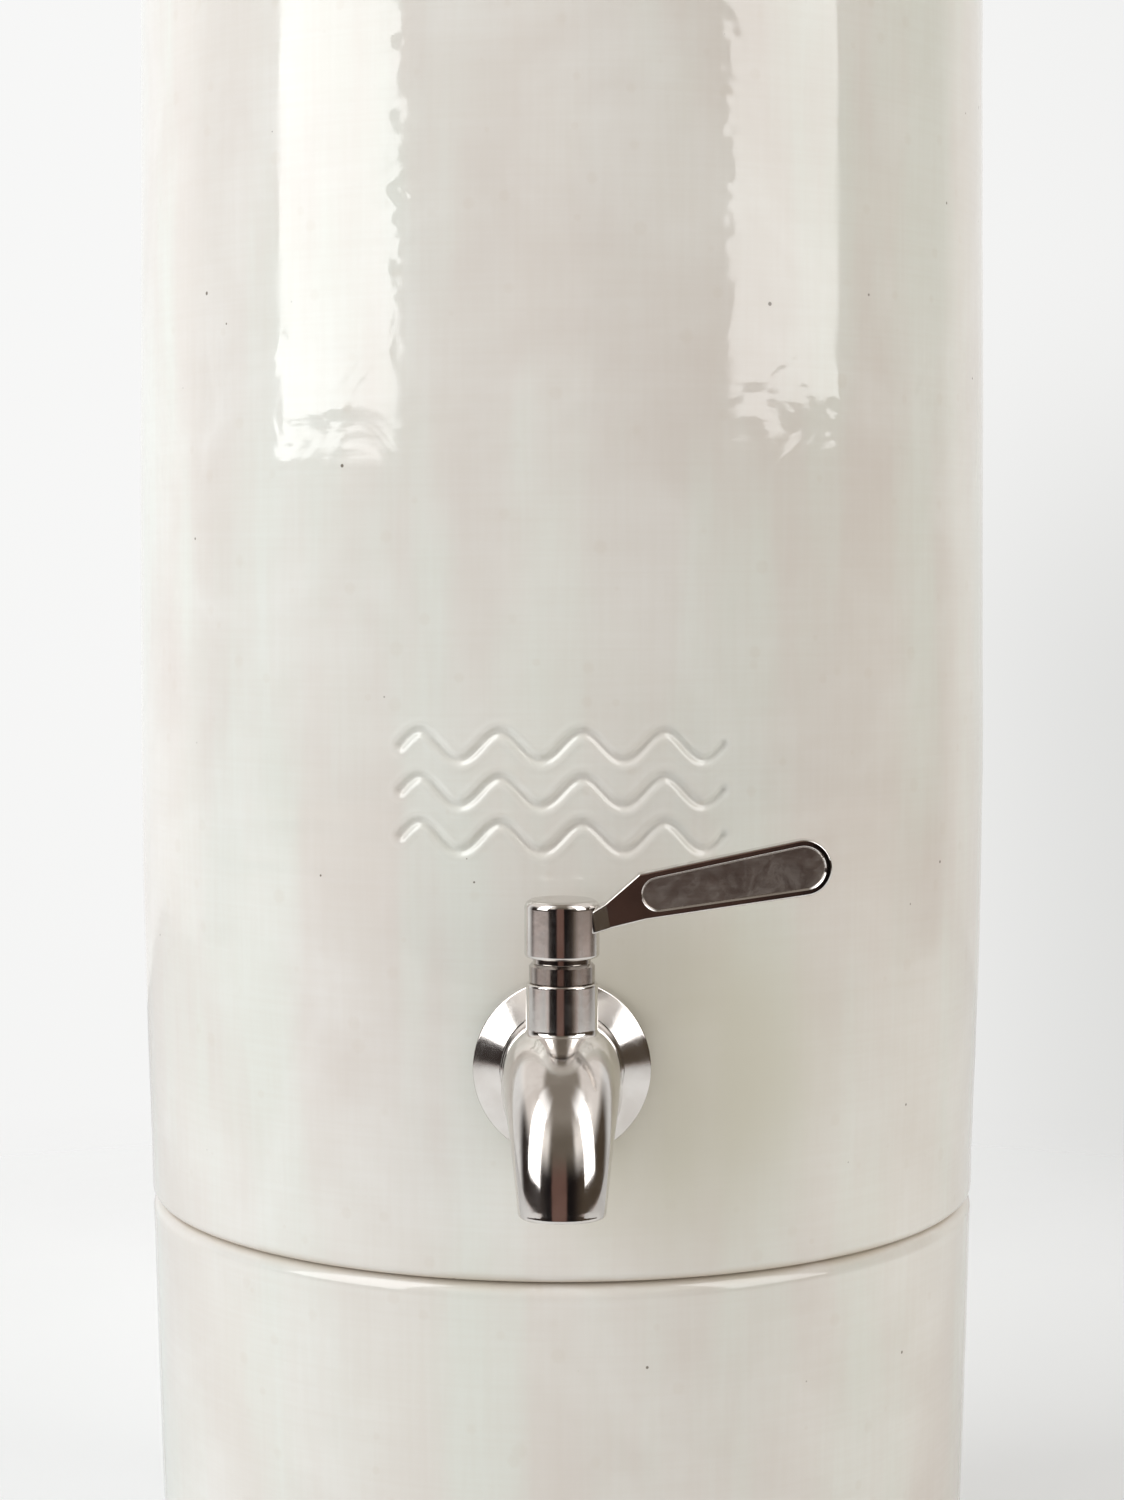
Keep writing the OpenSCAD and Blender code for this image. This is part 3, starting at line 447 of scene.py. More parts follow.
def makeVessel():
    v = vessel
    corner, edge, bottom = v["corner"] - v["softEdge"], v["edge"], v["rim"] - v["depth"]
    profile = [(0, -v["depth"])] + arc(v["radius"] - v["corner"], v["corner"] - v["depth"], v["corner"], -90, 0, 12)
    profile += [(v["radius"], 0)] + arc(v["flangeRadius"] - edge, edge, edge, -90, 0)
    profile += arc(v["flangeRadius"] - edge, v["flange"] - edge, edge, 0, 90)
    profile += arc(v["inner"] + v["softEdge"], v["flange"] - v["softEdge"], v["softEdge"], 90, 180, 6)
    profile += arc(v["inner"] - corner, v["floor"] - v["depth"] + corner, corner, 0, -90, 12)
    profile += [(0, v["floor"] - v["depth"])]
    piece = turnedPiece("glazedVessel", [(r, z + v["rim"]) for r, z in spaced(profile, v["row"])], "glaze",
                        lambda r, z: r > v["skinFrom"] and z < v["rim"], **v["turning"])
    carve(piece, [rod("stemHole", v["stemHole"], (at, 0, bottom - 2), (at, 0, bottom + v["floor"] + 2))
                  for at in (-v["candleAt"], v["candleAt"])])
    shaded(piece, 50)
    finished(piece, "glaze", "vessel_body", ["filter_vessel"])


def makeLid():
    d = lid
    edge = min(d["edge"], d["thickness"] / 2)
    base, rootOut, head = d["thickness"] + d["rise"], d["neck"] + d["root"], d["head"] / 2

    def top(r):
        return d["rise"] * (1 - (r / d["radius"]) ** 2)

    profile = [(r, top(r) - top(d["ringIn"])) for r in np.linspace(0, d["ringIn"], 14)]
    profile += footRing(d) + arc(d["radius"] - edge, edge, edge, -90, 0)
    profile += arc(d["radius"] - edge, d["thickness"] - edge, edge, 0, 90)
    profile += [(r, d["thickness"] + top(r)) for r in np.linspace(d["radius"] - edge, rootOut, 30)[1:-1]]
    profile += arc(rootOut, base + d["root"], d["root"], 270, 180, 10)
    profile += [(d["neck"], base + d["knobHeight"] - d["head"])]
    profile += arc(d["knobRadius"] - head, base + d["knobHeight"] - head, head, -90, 90, 20)
    profile += [(0, base + d["knobHeight"])]
    piece = turnedPiece("glazedLid", [(r, z + d["seat"]) for r, z in spaced(profile, d["row"])], "glaze",
                        **d["turning"])
    finished(piece, "glaze", "lid_body", ["lid"])


makeVessel()
makeLid()
print("filter vessel and lid made")

plate = {"back": 124.216, "front": 128.816, "radius": 22.5, "bore": 7.9, "rim": 1.4, "edge": 0.7, "hubRadius": 15.6,
         "step": (0.15, 0.08)}
spout = {"bodyRadius": 14.7, "bodyLength": 22, "bendRadius": 28, "bend": 80, "nose": 1, "mouthRadius": 10.2,
         "mouthCut": 88, "mouthEdge": 0.8, "lipRadius": 15.4, "lip": 0.8, "lipEdge": 0.3, "hollow": 1.4,
         "barrelOut": 22.3, "barrelRadius": 8.7, "barrelTop": 25.7, "barrelEdge": 0.5, "root": 0.8,
         "crownLift": 1.4, "crownReach": 10, "fullness": 0.32, "fullFrom": 2, "fullOver": 10,
         "chamberRadius": 6.3, "chamberLow": 8, "waterRadius": 4.5, "sealRadius": 5.7, "sealLength": 3,
         "wayRadius": 3.6, "wayShare": 0.9, "outletRadius": 7.2, "outletDepth": 10, "holeEdge": 0.35,
         "shankRadius": 7.85, "shankStart": 97.69, "shankEdge": 0.6, "shankInto": 5,
         "threadDepth": 0.5, "threadPitch": 1.5, "threadEnd": 119, "threadTuck": 1.2, "cell": 0.42, "deep": 9,
         "margins": {"ahead": 1.5, "below": 1, "aside": 2, "behind": 0.8, "above": 0.9}}
barrelY = -(plate["front"] + spout["barrelOut"])


def unionRound(a, b, r):
    return np.maximum(r, np.minimum(a, b)) - np.hypot(np.maximum(r - a, 0), np.maximum(r - b, 0))


def bothRound(a, b, r):
    return -unionRound(-a, -b, r)


# signed distance to the casting, from x to the side, f forward of the plate and v above the shank
def castingField(x, f, v):
    s = spout
    turn, bendLength = math.radians(s["bend"]), s["bendRadius"] * math.radians(s["bend"])
    ahead, above = f - s["bodyLength"], v + s["bendRadius"]
    swept = np.arctan2(ahead, above)
    noseF, noseV = s["bodyLength"] + s["bendRadius"] * math.sin(turn), s["bendRadius"] * (math.cos(turn) - 1)
    along = (f - noseF) * math.cos(turn) - (v - noseV) * math.sin(turn)
    across = (f - noseF) * math.sin(turn) + (v - noseV) * math.cos(turn)
    inBend = (ahead > 0) & (swept < turn)
    travel = np.where(ahead <= 0, f, np.where(inBend, s["bodyLength"] + s["bendRadius"] * swept,
                                              s["bodyLength"] + bendLength + along))
    offset = np.where(ahead <= 0, v, np.where(inBend, np.hypot(ahead, above) - s["bendRadius"], across))
    taper = (s["bodyRadius"] - s["mouthRadius"]) / (bendLength + s["nose"])
    radius = s["bodyRadius"] - taper * np.clip(travel - s["bodyLength"], 0, bendLength + s["nose"])
    upward = np.clip(offset, 0, None) / np.maximum(np.hypot(offset, x), 1e-6)
    radius = radius + s["crownLift"] * upward ** 2 * np.exp(-((f - s["barrelOut"]) / s["crownReach"]) ** 2)
    power = 2 + s["fullness"] * np.clip((f - s["fullFrom"]) / s["fullOver"], 0, 1)
    reach = (np.abs(offset) ** power + np.abs(x) ** power) ** (1 / power)
    body = (reach - radius) * math.cos(math.atan(taper))
    cut = math.radians(s["mouthCut"])
    mouth = np.array([noseF + s["nose"] * math.cos(turn), noseV - s["nose"] * math.sin(turn)])
    past = (f - mouth[0]) * math.cos(cut) - (v - mouth[1]) * math.sin(cut)
    aside = (f - mouth[0]) * math.sin(cut) + (v - mouth[1]) * math.cos(cut)
    body = bothRound(body, np.where(f > s["bodyLength"], past, -s["deep"]), s["mouthEdge"])
    fromShank = np.hypot(x, v)
    lip = bothRound(fromShank - s["lipRadius"], f - s["lip"], s["lipEdge"])
    body = unionRound(body, lip, s["hollow"])
    fromBarrel = np.hypot(x, f - s["barrelOut"])
    barrel = bothRound(fromBarrel - s["barrelRadius"], v - s["barrelTop"], s["barrelEdge"])
    barrel = np.maximum(barrel, -v - s["chamberLow"])
    body = np.maximum(unionRound(body, barrel, s["root"]), -f)
    start, threadEnd = s["shankStart"] - plate["front"], s["threadEnd"] - plate["front"]
    shank = fromShank - s["shankRadius"] + s["threadDepth"] * np.clip((threadEnd - f) / s["shankEdge"], 0, 1)
    shank = np.maximum(bothRound(shank, start - f, s["shankEdge"]), f - s["shankInto"])
    solid = np.minimum(body, shank)
    water = np.maximum(fromShank - s["waterRadius"], f - s["barrelOut"])
    seal = np.maximum(fromShank - s["sealRadius"], np.maximum(
        s["barrelOut"] - s["chamberRadius"] - s["sealLength"] - f, f - s["barrelOut"]))
    chamber = np.maximum(fromBarrel - s["chamberRadius"], -v - s["chamberLow"])
    outlet = np.maximum(np.hypot(aside, x) - s["outletRadius"], -s["outletDepth"] - past)
    wayTop = np.array([s["barrelOut"], s["wayRadius"] / 2 - s["chamberLow"]])
    wayEnd = mouth + s["wayShare"] * s["outletDepth"] * np.array([-math.cos(cut), math.sin(cut)])
    run = wayEnd - wayTop
    share = np.clip(((f - wayTop[0]) * run[0] + (v - wayTop[1]) * run[1]) / (run @ run), 0, 1)
    way = np.sqrt((f - wayTop[0] - share * run[0]) ** 2 + (v - wayTop[1] - share * run[1]) ** 2 + x ** 2)
    holes = np.minimum(np.minimum(np.minimum(water, seal), np.minimum(chamber, outlet)), way - s["wayRadius"])
    return bothRound(solid, -holes, s["holeEdge"])


def slab(cuts):          # an index with the given slices and all of the other axes
    return tuple(cuts.get(k, slice(None)) for k in range(3))


# a quad mesh through the cells that the field's surface crosses, then drawn on to the surface
def fieldMesh(field, low, high, cell, rounds=5, leastSlope=0.2):
    low, high = np.array(low, float), np.array(high, float)
    counts = np.ceil((high - low) / cell).astype(int) + 1
    axes = [low[k] + cell * np.arange(counts[k]) for k in range(3)]
    values = field(*np.meshgrid(*axes, indexing="ij"))
    inside = values < 0
    cells = counts - 1
    total, hits = np.zeros((*cells, 3)), np.zeros(cells)
    crossings = []
    for k in range(3):
        others = [a for a in range(3) if a != k]
        near, far = slab({k: slice(0, -1)}), slab({k: slice(1, None)})
        first, second = values[near], values[far]
        crossed = inside[near] != inside[far]
        share = np.where(crossed, first / np.where(crossed, first - second, 1), 0)
        grid = np.meshgrid(*[axes[a][:-1] if a == k else axes[a] for a in range(3)], indexing="ij")
        spot = np.stack(grid, -1)
        spot[..., k] += share * cell
        spot *= crossed[..., None]
        for starts in ((0, 0), (0, 1), (1, 0), (1, 1)):
            place = slab({a: slice(start, cells[a] + start) for a, start in zip(others, starts)})
            total += spot[place]
            hits += crossed[place]
        crossings.append((k, others, np.argwhere(crossed), inside[near][crossed]))
    number = np.full(tuple(cells), -1)
    used = hits > 0
    number[used] = np.arange(used.sum())
    points = total[used] / hits[used][:, None]
    faces = []
    for k, others, where, startsInside in crossings:
        ring = []
        for p, q in ((0, 0), (1, 0), (1, 1), (0, 1)):
            corner = where.copy()
            corner[:, others[0]] -= 1 - p
            corner[:, others[1]] -= 1 - q
            ring.append(number[tuple(corner.T)])
        ring = np.stack(ring, 1)
        flip = startsInside if k != 1 else ~startsInside
        ring[~flip] = ring[~flip][:, ::-1]
        faces.append(ring)

    def slope(p, h=0.02):
        steps = [field(*(p + h * np.eye(3)[k]).T) - field(*(p - h * np.eye(3)[k]).T) for k in range(3)]
        return np.stack(steps, 1) / (2 * h)

    for _ in range(rounds):
        g = slope(points)
        points = points - (field(*points.T) / np.maximum((g ** 2).sum(1), leastSlope))[:, None] * g
    g = slope(points)
    return points, np.concatenate(faces), g / np.linalg.norm(g, axis=1)[:, None]


def makeCasting():
    s, m, turn = spout, spout["margins"], math.radians(spout["bend"])
    sine, cosine = math.sin(turn), math.cos(turn)
    reach = s["bodyLength"] + s["bendRadius"] * sine + s["nose"] * cosine + s["mouthRadius"] + m["ahead"]
    fall = s["bendRadius"] * (1 - cosine) + s["nose"] * sine + s["mouthRadius"] * cosine + m["below"]
    side = s["lipRadius"] + m["aside"]
    points, faces, normals = fieldMesh(
        castingField, (-side, s["shankStart"] - plate["front"] - m["behind"], -max(fall, side)),
        (side, reach, s["barrelTop"] + m["above"]), s["cell"])
    place = np.stack([points[:, 0], -(plate["front"] + points[:, 1]), tapHeight + points[:, 2]], 1) * mm
    piece = newPiece("tapCasting", place, faces[:, ::-1])
    piece.data.shade_smooth()
    facing = np.stack([normals[:, 0], -normals[:, 1], normals[:, 2]], 1)
    piece.data.normals_split_custom_set_from_vertices([tuple(n) for n in facing])
    print("casting made:", len(faces), "quads")
    finished(piece, "steel", "crock_body", ["tap_body"])


makeCasting()


# a thread: a small ridge that follows a helix
def buildHelixRidge():
    tree, given, result = newTree("helixRidge", "GeometryNodeTree", [
        ("Geometry", "Geometry", None), ("Pitch", "Float", 0.0015), ("Length", "Float", 0.02),
        ("Core Radius", "Float", 0.0073), ("Height", "Float", 0.0005), ("Turn", "Vector", (0, 0, 0)),
        ("Move", "Vector", (0, 0, 0)), ("Material", "Material", None)], [("Geometry", "Geometry")])
    path = addNode(tree, "GeometryNodeCurveSpiral", {
        "Resolution": 40, "Rotations": over(given["Length"], given["Pitch"]), "Start Radius": given["Core Radius"],
        "End Radius": given["Core Radius"], "Height": given["Length"]})
    section = addNode(tree, "GeometryNodeCurvePrimitiveCircle", {"Resolution": 4, "Radius": given["Height"]})
    ridge = addNode(tree, "GeometryNodeCurveToMesh", {
        "Curve": path.outputs[0], "Profile Curve": section.outputs[0], "Fill Caps": True})
    return closeTree(tree, given, result, ridge.outputs[0])


helixRidge = buildHelixRidge()
threadSink = 0.98        # the ridge stays this share of the thread's depth, inside the CAD's radius


def threadPiece(name, material, body, slotName, depth, **values):
    piece = runTree(newPiece(name, [(0, 0, 0)]), helixRidge, material=materials[material],
                    height=depth * threadSink * mm, **values)
    finished(shaded(piece, 30), material, body, [])


def makeShankThread():
    s = spout
    threadPiece("shankThread", "steel", "crock_body", "polished_steel", s["threadDepth"],
                pitch=s["threadPitch"] * mm, length=(s["threadEnd"] - s["shankStart"] - 2 * s["threadTuck"]) * mm,
                coreRadius=(s["shankRadius"] - s["threadDepth"]) * mm, turn=(math.pi / 2, 0, 0),
                move=(0, -(s["shankStart"] + s["threadTuck"]) * mm, tapHeight * mm))


def makePlate():
    p = plate
    thick = p["front"] - p["back"]
    slope = math.degrees(math.atan((thick - p["rim"]) / (p["radius"] - p["hubRadius"])))
    profile = [(p["bore"], 0)] + arc(p["radius"] - p["edge"], p["edge"], p["edge"], -90, 0, 6)
    profile += arc(p["radius"] - p["edge"], p["rim"] - p["edge"], p["edge"], 0, 90 - slope, 6)
    profile += [(p["hubRadius"] + p["step"][0], thick - p["step"][1]), (p["hubRadius"], thick),
                (p["bore"], thick), (p["bore"], 0)]
    piece = turnedPiece("tapPlate", profile, "steel", columns=192, frontColumns=48, turn=(math.pi / 2, 0, 0),
                        move=(0, -p["back"] * mm, tapHeight * mm))
    finished(piece, "steel", "crock_body", ["escutcheon"])


bonnet = {"foot": 231.2, "threadLength": 11.4, "threadRadius": 6.25, "ringRadius": 8, "ringHeight": 4.7, "bevel": 0.6,
          "neckRadius": 7, "neckHeight": 2.1, "hollow": 0.3, "topEdge": 0.2, "bore": 4.05}


def makeBonnet():
    b, neck, soft = bonnet, bonnet["neckRadius"], bonnet["hollow"]
    top = b["ringHeight"] + b["neckHeight"]
    profile = [(b["bore"], -b["threadLength"]), (b["threadRadius"], -b["threadLength"]), (b["threadRadius"], 0),
               (b["ringRadius"] - soft, 0), (b["ringRadius"], soft), (b["ringRadius"], b["ringHeight"] - b["bevel"]),
               (b["ringRadius"] - b["bevel"], b["ringHeight"]), (neck + soft, b["ringHeight"])]
    profile += arc(neck + soft, b["ringHeight"] + soft, soft, 270, 180, 4)
    profile += [(neck, top - b["topEdge"]), (neck - b["topEdge"], top), (b["bore"], top),
                (b["bore"], -b["threadLength"])]
    # the bonnet takes a darker copy of the steel, as painted shade
    piece = turnedPiece("tapBonnet", profile, "shadedRingSteel", columns=128, frontColumns=64, frontHalfAngle=90.0,
                        move=(0, barrelY * mm, b["foot"] * mm))
    finished(shaded(piece, 25), "shadedRingSteel", "crock_body", ["bonnet"])


makeShankThread()
makePlate()
makeBonnet()
print("tap made")

lever = {"hubFoot": 238.3, "hubRadius": 9.1, "hubHeight": 13, "topEdge": 2, "lowEdge": 0.8, "skirt": 0.9,
         "skirtBore": 7.5, "drop": 2.8, "rise": 10.2, "reach": 59.3, "tipRadius": 6.8, "rootRadius": 5.6,
         "bladeStart": 19.5, "shoulder": 0.62, "neckDrop": 6.2, "neckWidth": 11, "thickness": 4.6, "edge": 0.45,
         "panelDepth": 0.6, "panelBorder": 1.4, "panelChamfer": 0.42, "panelDraft": 0.12,
         "spindleRadius": 4.05, "spindleTop": 248.35, "grubRadius": 2.05, "grubHeight": 243.8, "grubLength": 12,
         "inHub": 2, "pastHub": 1.5, "shoulderAt": 0.6, "rootTops": (-2.0, -0.8, 0.2), "rootShare": 0.8,
         "rootPast": 2, "rootThin": 0.3, "rootSink": 0.02, "rootEdge": 0.4,
         "flatFrom": 0.2, "flatFacing": 0.99, "flatWithin": 0.05}


def insetLoop(loop, distance):    # a counter-clockwise outline drawn in by a distance
    points = np.array(loop)
    before, after = np.roll(points, 1, 0), np.roll(points, -1, 0)
    a, b = points - before, after - points
    a /= np.linalg.norm(a, axis=1)[:, None]
    b /= np.linalg.norm(b, axis=1)[:, None]
    na, nb = np.stack([-a[:, 1], a[:, 0]], 1), np.stack([-b[:, 1], b[:, 0]], 1)
    middle = na + nb
    return points + distance * middle * (2 / (middle ** 2).sum(1))[:, None]


def between(one, two, steps=16):         # the points between two others, without them
    return [((1 - t) * np.array(one) + t * np.array(two)).tolist() for t in np.linspace(0, 1, steps)[1:-1]]


def capsule(x1, r1, x2, r2, steps=22):
    lean = math.degrees(math.asin((r2 - r1) / (x2 - x1)))
    right, left = arc(x2, 0, r2, -90 - lean, 90 + lean, steps), arc(x1, 0, r1, 90 + lean, 270 - lean, steps)
    return right + between(right[-1], left[0]) + left + between(left[-1], right[0])


def bladeOutline():
    v, soft, start, clear = lever, lever["shoulder"], lever["inHub"], lever["hubRadius"] + lever["pastHub"]
    return ([(start, -v["neckDrop"]), (clear, -v["neckDrop"]), (v["bladeStart"], -v["rootRadius"])]
            + arc(v["reach"], 0, v["tipRadius"], -90, 90, 40)
            + arc(v["bladeStart"] + v["shoulderAt"], v["rootRadius"] - soft, soft, 88, 140, 5)
            + [(clear, 0), (start, -start)])


def bladeSolid():
    v, half, points, faces = lever, lever["thickness"] / 2, [], []
    border = v["rootRadius"] - v["panelBorder"]
    outline = bladeOutline()
    panel = capsule(v["bladeStart"] + border, border, v["reach"], v["tipRadius"] - v["panelBorder"])

    def addLoop(loop, depth):
        first = len(points)
        points.extend((p[0], depth, p[1]) for p in loop)
        return list(range(first, len(points)))

    def bridge(one, two):
        n = len(one)
        faces.extend([one[i], one[(i + 1) % n], two[(i + 1) % n], two[i]] for i in range(n))

    sides = []
    for hand in (-1, 1):
        loops = []
        for a in np.radians((0, 18, 36, 54, 72, 90)):
            depth = half - v["edge"] * (1 - math.sin(a))
            loops.append(addLoop(insetLoop(outline, v["edge"] * (1 - math.cos(a))), hand * depth))
        for one, two in zip(loops, loops[1:]):
            bridge(one, two)
        sides.append(loops[0])
        rim = addLoop(panel, hand * half)
        chamfer = addLoop(insetLoop(panel, v["panelChamfer"]), hand * (half - v["panelChamfer"] * 0.8))
        draft = insetLoop(panel, v["panelChamfer"] + v["panelDraft"])
        wall = addLoop(draft, hand * (half - v["panelDepth"]))
        bridge(rim, chamfer)
        bridge(chamfer, wall)
        faces.append(wall)
        flat = [[Vector((points[i][0], points[i][2], 0)) for i in ring] for ring in (loops[-1], rim)]
        order = loops[-1] + rim
        faces.extend([order[i] for i in triangle] for triangle in tessellate_polygon(flat))
    bridge(sides[0], sides[1])
    return points, faces


def rootSolid():         # the neck's thick end, which narrows from inside the hub to the blade
    v, wide, thin = lever, lever["neckWidth"] / 2, lever["thickness"] / 2 - lever["rootThin"]
    places = (v["inHub"], v["hubRadius"] * v["rootShare"], v["hubRadius"] + v["rootPast"])
    points = [(x, side * half, z) for x, half, top in zip(places, (wide, wide, thin), v["rootTops"])
              for side in (-1, 1) for z in (-v["neckDrop"], top - v["rootSink"])]
    faces = [[0, 1, 3, 2], [8, 10, 11, 9]]
    for k in (0, 4):
        faces += [[k, k + 4, k + 5, k + 1], [k + 2, k + 3, k + 7, k + 6], [k + 1, k + 5, k + 7, k + 3],
                  [k, k + 2, k + 6, k + 4]]
    return points, faces


def makeLever():
    v = lever
    place = (Matrix.Translation((0, barrelY * mm, (v["hubFoot"] + v["hubHeight"] - v["drop"]) * mm))
             @ Matrix.Rotation(math.radians(-v["rise"]), 4, "Y"))
    parts = []
    for name, (points, faces) in (("blade", bladeSolid()), ("root", rootSolid())):
        part = newPiece(name, [tuple(place @ (Vector(p) * mm)) for p in points], faces)
        parts.append(reworked(part, weld=1e-7, bevel=v["rootEdge"] * mm if name == "root" else None))
    profile = [(0, 0), (v["skirtBore"], 0), (v["skirtBore"], -v["skirt"])]
    profile += arc(v["hubRadius"] - v["lowEdge"], v["lowEdge"] - v["skirt"], v["lowEdge"], -90, 0, 5)
    profile += arc(v["hubRadius"] - v["topEdge"], v["hubHeight"] - v["topEdge"], v["topEdge"], 0, 90, 10)
    profile += [(0, v["hubHeight"])]
    hub = turnedPiece("tapLever", profile, "steel", columns=160, frontColumns=80, frontHalfAngle=90.0,
                      move=(0, barrelY * mm, v["hubFoot"] * mm))
    carve(hub, parts, "UNION")
    carve(hub, [rod("bore", v["spindleRadius"], (0, barrelY, v["hubFoot"] - 2), (0, barrelY, v["spindleTop"])),
                rod("grub", v["grubRadius"], (0, barrelY, v["grubHeight"]),
                    (0, barrelY + v["grubLength"], v["grubHeight"]))])
    hub.modifiers.new("faceNormals", "WEIGHTED_NORMAL").keep_sharp = True
    plainMesh(shaded(hub, 32))
    finished(hub, "steel", "lever_body", ["lever"])
    # the sunk panels' finish, and a darker copy of the steel as painted shade for the blade's flat border
    for label in ("bladeSteel", "shadedFlatSteel"):
        hub.data.materials.append(materials[label])
    panelFloor = (v["thickness"] / 2 - v["panelDepth"]) * mm
    for face in hub.data.polygons:       # the floors of the two sunk panels, then the blade's flat border
        if face.center.x > (v["hubRadius"] + v["flatFrom"]) * mm and abs(face.normal.y) > v["flatFacing"]:
            off = abs(abs(face.center.y - barrelY * mm) - panelFloor)
            sunk = off < v["flatWithin"] * mm and face.center.x > v["bladeStart"] * mm
            face.material_index = 1 if sunk else 2


makeLever()
print("lever made")

candle = {"at": 46, "foot": 397.5, "radius": 25, "wall": 7, "height": 122, "row": 6}
mount = {"foot": 390.5, "top": 401.5, "radius": 27, "chamfer": 3, "edge": 0.8, "cup": 25.05, "cupFloor": 397.5,
         "stemRadius": 5, "stemLength": 34, "drip": 2.25, "thread": 0.45, "pitch": 2.0, "collar": 3,
         "collarEdge": 0.4, "endEdge": 0.5, "threadTuck": 1.2, "threadShort": 5}


def makeCandle(side, label):
    c, m = candle, mount
    turning = {"columns": 96, "frontColumns": 24, "move": (side * c["at"] * mm, 0, 0)}
    straight, inner = c["height"] - c["radius"], c["radius"] - c["wall"]
    profile = [(c["radius"], 0)] + arc(0, straight, c["radius"], 0, 90, 26) + arc(0, straight, inner, 90, 0, 16)
    profile = spaced(profile + [(inner, 0), (c["radius"], 0)], c["row"])
    dome = turnedPiece(label + "CeramicDome", [(r, z + c["foot"]) for r, z in profile], "ceramic", **turning)
    finished(dome, "ceramic", "vessel_body", [label + "_ceramic_dome"])
    core, foot, stemEnd = m["stemRadius"] - m["thread"], m["foot"], m["foot"] - m["stemLength"]
    profile = [(m["drip"], stemEnd), (core - m["endEdge"], stemEnd), (core, stemEnd + m["endEdge"]),
               (core, foot - m["collar"]), (m["stemRadius"], foot - m["collar"] + m["collarEdge"]),
               (m["stemRadius"], foot),
               (m["radius"] - m["chamfer"], foot), (m["radius"], foot + m["chamfer"])]
    profile += arc(m["radius"] - m["edge"], m["top"] - m["edge"], m["edge"], 0, 90, 5)
    profile += [(m["cup"], m["top"]), (m["cup"], m["cupFloor"]), (m["drip"], m["cupFloor"]), (m["drip"], stemEnd)]
    cup = turnedPiece(label + "CandleMount", profile, "plastic", **turning)
    finished(cup, "plastic", "vessel_body", [label + "_candle_mount"])
    threadPiece(label + "StemThread", "plastic", "vessel_body", "white_plastic", m["thread"],
                pitch=m["pitch"] * mm, length=(m["stemLength"] - m["threadShort"]) * mm, coreRadius=core * mm,
                move=(side * c["at"] * mm, 0, (stemEnd + m["threadTuck"]) * mm))


makeCandle(-1, "left")
makeCandle(1, "right")
print("candles made")

effects = {}             # shader groups, each made once and placed in the materials with its values


def effect(name, output, **inputs):      # makes the group that the function below it describes
    def build(describe):
        labels = [("Vector", "Vector", None)] + [(label, "Float", value) for label, value in inputs.items()]
        tree, given, result = newTree(name, "ShaderNodeTree", labels, [(output, "Float")])
        tree.links.new(describe(given["Vector"], given), result[output])
        effects[name] = tree
        return describe
    return build


@effect("blotches", "Amount", Size=0.05, Softness=0.15, Level=0.5)
def blotches(spot, given):               # soft patches, 0 to 1
    noise = noiseOf(spot, over(1.0, given["Size"]), detail=3.0, roughness=0.55, distortion=0.4)
    return remap(noise, minus(given["Level"], given["Softness"]), plus(given["Level"], given["Softness"]))


@effect("streaks", "Amount", Width=0.002, Height=0.04, Detail=2.0)
def streaks(spot, given):                # a noise drawn out along Z or laid flat, by its two sizes
    wide, high = over(1.0, given["Width"]), over(1.0, given["Height"])
    return noiseOf(vectorMath("MULTIPLY", spot, joined(wide, wide, high)), 1.0, detail=given["Detail"])


@effect("fineGrain", "Height", Size=0.001, Coarse=0.35)
def fineGrain(spot, given):              # grain of two sizes for a bump or a roughness
    fine = noiseOf(spot, over(1.0, given["Size"]), detail=3.0, roughness=0.6)
    return plus(fine, times(noiseOf(spot, over(0.2, given["Size"])), given["Coarse"]))


@effect("smudges", "Roughness", Size=0.012, Low=0.05, High=0.15)
def smudges(spot, given):                # where hands and cloths have been
    noise = noiseOf(spot, over(1.0, given["Size"]), detail=4.0, roughness=0.65, distortion=1.2)
    return remap(noise, 0.35, 0.72, given["Low"], given["High"])


@effect("specks", "Amount", Spacing=0.013, Radius=0.0004)
def specks(spot, given):                 # sparse round specks of a size, on a jittered lattice
    cells = addNode(spot.id_data, "ShaderNodeTexVoronoi", {"Vector": spot, "Scale": over(1.0, given["Spacing"])})
    away = times(cells.outputs["Distance"], given["Spacing"])
    pick = addNode(spot.id_data, "ShaderNodeSeparateColor", {0: cells.outputs["Color"]}).outputs[0]
    return remap(over(away, times(given["Radius"], plus(0.35, pick))), 0.55, 1.0, 1.0, 0.0)


def placed(name, vector, **values):
    return addNode(vector.id_data, "ShaderNodeGroup", {"Vector": vector, **values},
                   node_tree=effects[name]).outputs[0]


def blend(amount, first, second):
    feeds = {0: amount, 6: first if isinstance(first, bpy.types.NodeSocket) else (*first, 1),
             7: second if isinstance(second, bpy.types.NodeSocket) else (*second, 1)}
    return addNode(amount.id_data, "ShaderNodeMix", feeds, data_type="RGBA").outputs[2]


def bump(height, distance, under=None):
    feeds = {"Height": height, "Distance": distance}
    if under is not None:
        feeds["Normal"] = under
    return addNode(height.id_data, "ShaderNodeBump", feeds).outputs[0]


def startMaterial(label, **plain):
    tree = materials[label].node_tree
    shader = tree.nodes["Principled BSDF"]
    for key, value in plain.items():
        shader.inputs[key].default_value = value
    return shader, addNode(tree, "ShaderNodeTexCoord").outputs["Object"]


def feed(shader, **sockets):             # baseColor feeds Base Color, and so on
    names = {socket.name.replace(" ", "").lower(): socket for socket in shader.inputs}
    for name, value in sockets.items():
        shader.id_data.links.new(value, names[name.lower()])
